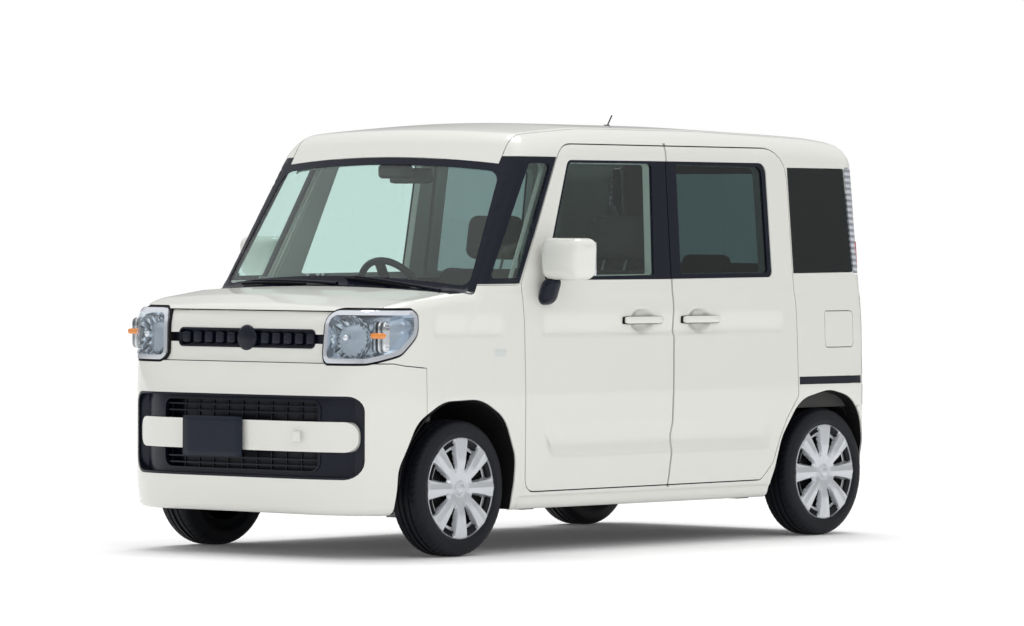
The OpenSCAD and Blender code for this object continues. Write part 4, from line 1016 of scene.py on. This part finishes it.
# ---------------------------------------------------------------- side details
for label, handle_y, body in (("front", 59, "front_door_{side}"), ("rear", 455, "body")):
    grip = soft_block(f"{label}_handle", (738, handle_y, 953), (20, 250, 30), 10, 12,
                      lambda p: p + np.stack([0.004 * np.cos(p[:, 1] * 12), 0 * p[:, 0],
                                              0 * p[:, 0]], 1))
    place_pair(grip, f"{label}_handle", body, PAINT, "paint")
    ends = soft_block(f"{label}_handle_seat", (728, handle_y, 952), (14, 262, 34), 7, 8)
    place_pair(ends, f"{label}_handle_seat", body, RUBBER_SEAL)
place_pair(soft_block("repeater", (730, -879, 826), (16, 82, 38), 8, 10,
                      lambda p: p * np.array([1, 1, 1])), "repeater", "body", LENS, "lamp_lens")
place_pair(soft_block("repeater_base", (727, -879, 826), (14, 76, 32), 7, 8), "repeater_base", "body",
           SILVER, "lamp_lens")


def mirror_shape(points):
    """The housing bulges forwards, and narrows a little downwards."""
    bulge = 0.012 * (1 - (points[:, 0] / 0.110) ** 2) * (1 - (points[:, 2] / 0.088) ** 2)
    points[:, 1] -= bulge * (points[:, 1] < 0)
    points[:, 0] *= 1 + 0.05 * points[:, 2] / 0.082
    return points


place_pair(soft_block("mirror_housing", (839, -566, 1211), (216, 136, 172), 40, 16, mirror_shape),
           "mirror_housing", "front_door_{side}", PAINT, "paint", ["mirror_{side}"])
place_pair(soft_block("mirror_glass", (839, -499, 1212), (180, 6, 138), 20, 10), "mirror_glass",
           "front_door_{side}", SILVER)
place_pair(soft_block("mirror_foot", (744, -585, 1078), (74, 80, 116), 34, 12,
                      lambda p: p + np.stack([0.35 * (p[:, 2] + 0.02), 0 * p[:, 0], 0 * p[:, 0]], 1)),
           "mirror_foot", "front_door_{side}", BLACK, "black_trim")


def wiper(name, pivot_x, tip_x, low, high):
    """An arm and its blade lying on the foot of the windshield."""
    def on_shield(x, up, out):
        sag = SHIELD_RADIUS - math.sqrt(SHIELD_RADIUS ** 2 - (x * MM) ** 2)
        n = np.array(VIEWS["shield"][2])
        v = np.array(VIEWS["shield"][1])
        p = np.array([x * MM, SHIELD_FOOT_Y, SHIELD_FOOT_Z]) + v * up * MM - n * (sag - out * MM)
        return p / MM
    line = [on_shield(pivot_x + (tip_x - pivot_x) * t, low + (high - low) * t, 14)
            for t in np.linspace(0, 1, 12)]
    blade = [on_shield(pivot_x + (tip_x - pivot_x) * t, low + (high - low) * t - 10, 7)
             for t in np.linspace(0.35, 1.12, 14)]
    place(tube(name + "_arm", line, [9, 8, 7, 6, 6, 5, 5, 5, 5, 5, 4, 4]), name + "_arm", "body",
          BLACK, "black_trim")
    place(tube(name + "_blade", blade, 5), name + "_blade", "body", RUBBER_SEAL)


wiper("wiper_left", 560, 120, 18, 52)
wiper("wiper_right", 40, -480, 14, 48)

# ---------------------------------------------------------------- cabin
def cushion_shape(rise, hollow, length, width):
    """A seat pad: crowned, with side bolsters and two sewn grooves."""
    def shape(points):
        across, along = points[:, 0] / (width / 2 * MM), points[:, 1] / (length / 2 * MM)
        top = points[:, 2] > 0
        crown = rise * MM * (1 - along ** 2) * (1 - 0.4 * across ** 2)
        bolster = hollow * MM * smoothstep(0.45, 0.85, np.abs(across))
        seam = 0.006 * np.exp(-((np.abs(across) - 0.55) / 0.05) ** 2)
        seam += 0.005 * np.exp(-((along - 0.1) / 0.05) ** 2) * (np.abs(across) < 0.55)
        points[:, 2] += np.where(top, crown + bolster - seam, 0)
        return points
    return shape


def seat(label, x, cushion, back, head):
    """A cushion, a leaning back rest and a head rest; each (centre, size, tilt)."""
    made = []
    for part, (centre, size, tilt) in (("cushion", cushion), ("back", back), ("head", head)):
        rise = {"cushion": 16, "back": 14, "head": 8}[part]
        hollow = {"cushion": 12, "back": 16, "head": 0}[part]
        pad = soft_block(f"{label}_{part}", (x, centre[0], centre[1]), size, min(size) * 0.42, 22,
                         cushion_shape(rise, hollow, size[1], size[0]), tilt)
        made.append(pad)
    return made


for side, sign in (("left", 1), ("right", -1)):
    rows = {
        "front_seat": (345 * sign, ((15, 545), (500, 530, 130), 4),
                       ((268, 870), (480, 590, 110), 76), ((372, 1296), (270, 190, 90), 80),
                       "front_seats"),
        "rear_seat": (272 * sign, ((790, 570), (520, 470, 130), 3),
                      ((1000, 850), (500, 500, 100), 78), ((1080, 1165), (240, 120, 80), 80),
                      "rear_seats")}
    for label, (x, cushion, back, head, node) in rows.items():
        for pad in seat(f"{label}_{side}", x, cushion, back, head):
            place(pad, pad.name, "body", FABRIC, "seat_fabric", [node])
    for x in (-60, 60):
        place(tube(f"head_post_{side}_{'in' if x < 0 else 'out'}",
                   [(345 * sign + x, 325, 1130), (345 * sign + x, 365, 1225)], 6),
              f"head_post_{side}_{'in' if x < 0 else 'out'}", "body", CAST)
place(soft_block("room_mirror", (0, -590, 1555), (230, 24, 66), 12, 10), "room_mirror", "body", GRIP)
place(tube("room_mirror_stem", [(0, -640, 1610), (0, -600, 1570)], 7), "room_mirror_stem", "body",
      GRIP)
place(soft_block("sensor_unit", (0, -690, 1572), (150, 70, 60), 18, 10), "sensor_unit", "body", GRIP)
place(soft_block("dash_top", (0, -640, 1000), (1270, 300, 90), 40, 16), "dash_top", "body", DASH,
      "dash_plastic")
place(soft_block("dash_hood", (-345, -500, 1060), (330, 130, 70), 32, 12), "dash_hood", "body", DASH,
      "dash_plastic")
place(soft_block("centre_screen", (0, -500, 1010), (240, 40, 150), 10, 8), "centre_screen", "body",
      GRIP)

# ---------------------------------------------------------------- CAD nodes that stay
KEPT = {"underbody": (UNDER, "under_steel"), "front_suspension": (CAST, "cast_metal"),
        "rear_axle": (UNDER, "under_steel"), "fuel_tank": (GRIP, "grip_black"),
        "exhaust": (PIPE, "pipe_steel"), "engine": (CAST, "cast_metal"),
        "dashboard": (DASH, "dash_plastic"), "antenna": (BLACK, "black_trim"),
        "knuckle_left": (CAST, "cast_metal"), "knuckle_right": (CAST, "cast_metal"),
        "steering_wheel": (GRIP, "grip_black")}
for node, (material, slot) in KEPT.items():
    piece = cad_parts[node]
    piece.data.materials.clear()
    piece.data.materials.append(material)
    if node in ("engine", "dashboard", "fuel_tank"):
        edge = piece.modifiers.new("edge", "BEVEL")
        edge.width, edge.segments, edge.limit_method = 0.008, 3, "ANGLE"

# ---------------------------------------------------------------- stage, light and camera
leftovers = {tool.as_pointer(): tool for tool in spare + list(solids.values())}
for leftover in leftovers.values():
    bpy.data.objects.remove(leftover)


def stage_floor():
    size = 60
    floor = new_object("floor", [(-size, -size, 0), (size, -size, 0), (size, size, 0),
                                 (-size, size, 0)], [(0, 1, 2, 3)])
    floor.data.materials.append(finish_of("floor", (0.93, 0.93, 0.93), 0.9, light=0.06))
    floor.data.materials[0].node_tree.nodes["Principled BSDF"].inputs["Specular IOR Level"] \
        .default_value = 0.0


def studio_sky():
    """White behind the car, and a soft gradient for its light and reflections."""
    world = bpy.data.worlds.new("studio")
    bpy.context.scene.world = world
    world.use_nodes = True
    nodes, links = world.node_tree.nodes, world.node_tree.links
    nodes.clear()
    where, split = nodes.new("ShaderNodeTexCoord"), nodes.new("ShaderNodeSeparateXYZ")
    ramp = nodes.new("ShaderNodeValToRGB")
    span = nodes.new("ShaderNodeMapRange")
    span.inputs["From Min"].default_value = -1
    links.new(where.outputs["Generated"], split.inputs["Vector"])
    links.new(split.outputs["Z"], span.inputs["Value"])
    links.new(span.outputs["Result"], ramp.inputs["Fac"])
    bands = ramp.color_ramp.elements
    bands[0].position, bands[0].color = 0.0, (0.8, 0.8, 0.8, 1)
    bands[1].position, bands[1].color = 1.0, (1.0, 1.0, 1.0, 1)
    for place_at, level in ((0.48, 0.42), (0.53, 0.40), (0.62, 0.62), (0.75, 0.90)):
        band = bands.new(place_at)
        band.color = (level, level, level, 1)
    soft, white = nodes.new("ShaderNodeBackground"), nodes.new("ShaderNodeBackground")
    soft.inputs["Strength"].default_value = 0.86
    links.new(ramp.outputs["Color"], soft.inputs["Color"])
    white.inputs["Color"].default_value = (1, 1, 1, 1)
    path, mix = nodes.new("ShaderNodeLightPath"), nodes.new("ShaderNodeMixShader")
    out = nodes.new("ShaderNodeOutputWorld")
    links.new(path.outputs["Is Camera Ray"], mix.inputs["Fac"])
    links.new(soft.outputs["Background"], mix.inputs[1])
    links.new(white.outputs["Background"], mix.inputs[2])
    links.new(mix.outputs["Shader"], out.inputs["Surface"])


def area_light(name, at, size, power, aim=(0, 0, 0.8)):
    light = bpy.data.lights.new(name, "AREA")
    light.shape, light.size, light.size_y, light.energy = "RECTANGLE", size[0], size[1], power
    made = bpy.data.objects.new(name, light)
    made.location = at
    made.rotation_euler = (Vector(aim) - Vector(at)).to_track_quat("-Z", "Y").to_euler()
    bpy.context.scene.collection.objects.link(made)


stage_floor()
studio_sky()
SUN_FROM, SUN_STRENGTH, SUN_SPREAD = (-0.35, 0.45, 1.5), 1.15, math.radians(28)
sun = bpy.data.lights.new("sun", "SUN")
sun.energy, sun.angle = SUN_STRENGTH, SUN_SPREAD
sun_at = bpy.data.objects.new("sun", sun)
sun_at.rotation_euler = Vector(SUN_FROM).to_track_quat("Z", "Y").to_euler()
bpy.context.scene.collection.objects.link(sun_at)
area_light("side_light", (7.0, -4.0, 4.5), (4, 3), 60)

CAMERA_AT = (16.272, -19.485, 1.323)
CAMERA_AZIMUTH, CAMERA_ELEVATION, CAMERA_ROLL = 40.12, 0.569, 0.259
camera = bpy.data.cameras.new("camera")
camera.lens, camera.sensor_width = 208.5, 36
camera.shift_x, camera.shift_y = 0.0369, -0.0223
camera.clip_end = 200
seen_from = bpy.data.objects.new("camera", camera)
bpy.context.scene.collection.objects.link(seen_from)
a, e, r = (math.radians(v) for v in (CAMERA_AZIMUTH, CAMERA_ELEVATION, CAMERA_ROLL))
back = Vector((math.sin(a) * math.cos(e), -math.cos(a) * math.cos(e), math.sin(e)))
right = Vector((math.cos(a), math.sin(a), 0))
up = back.cross(right)
right, up = math.cos(r) * right + math.sin(r) * up, math.cos(r) * up - math.sin(r) * right
turned = Matrix((right, up, back)).transposed().to_4x4()
seen_from.matrix_world = Matrix.Translation(CAMERA_AT) @ turned
bpy.context.scene.camera = seen_from
bpy.context.scene.view_settings.view_transform = "Standard"
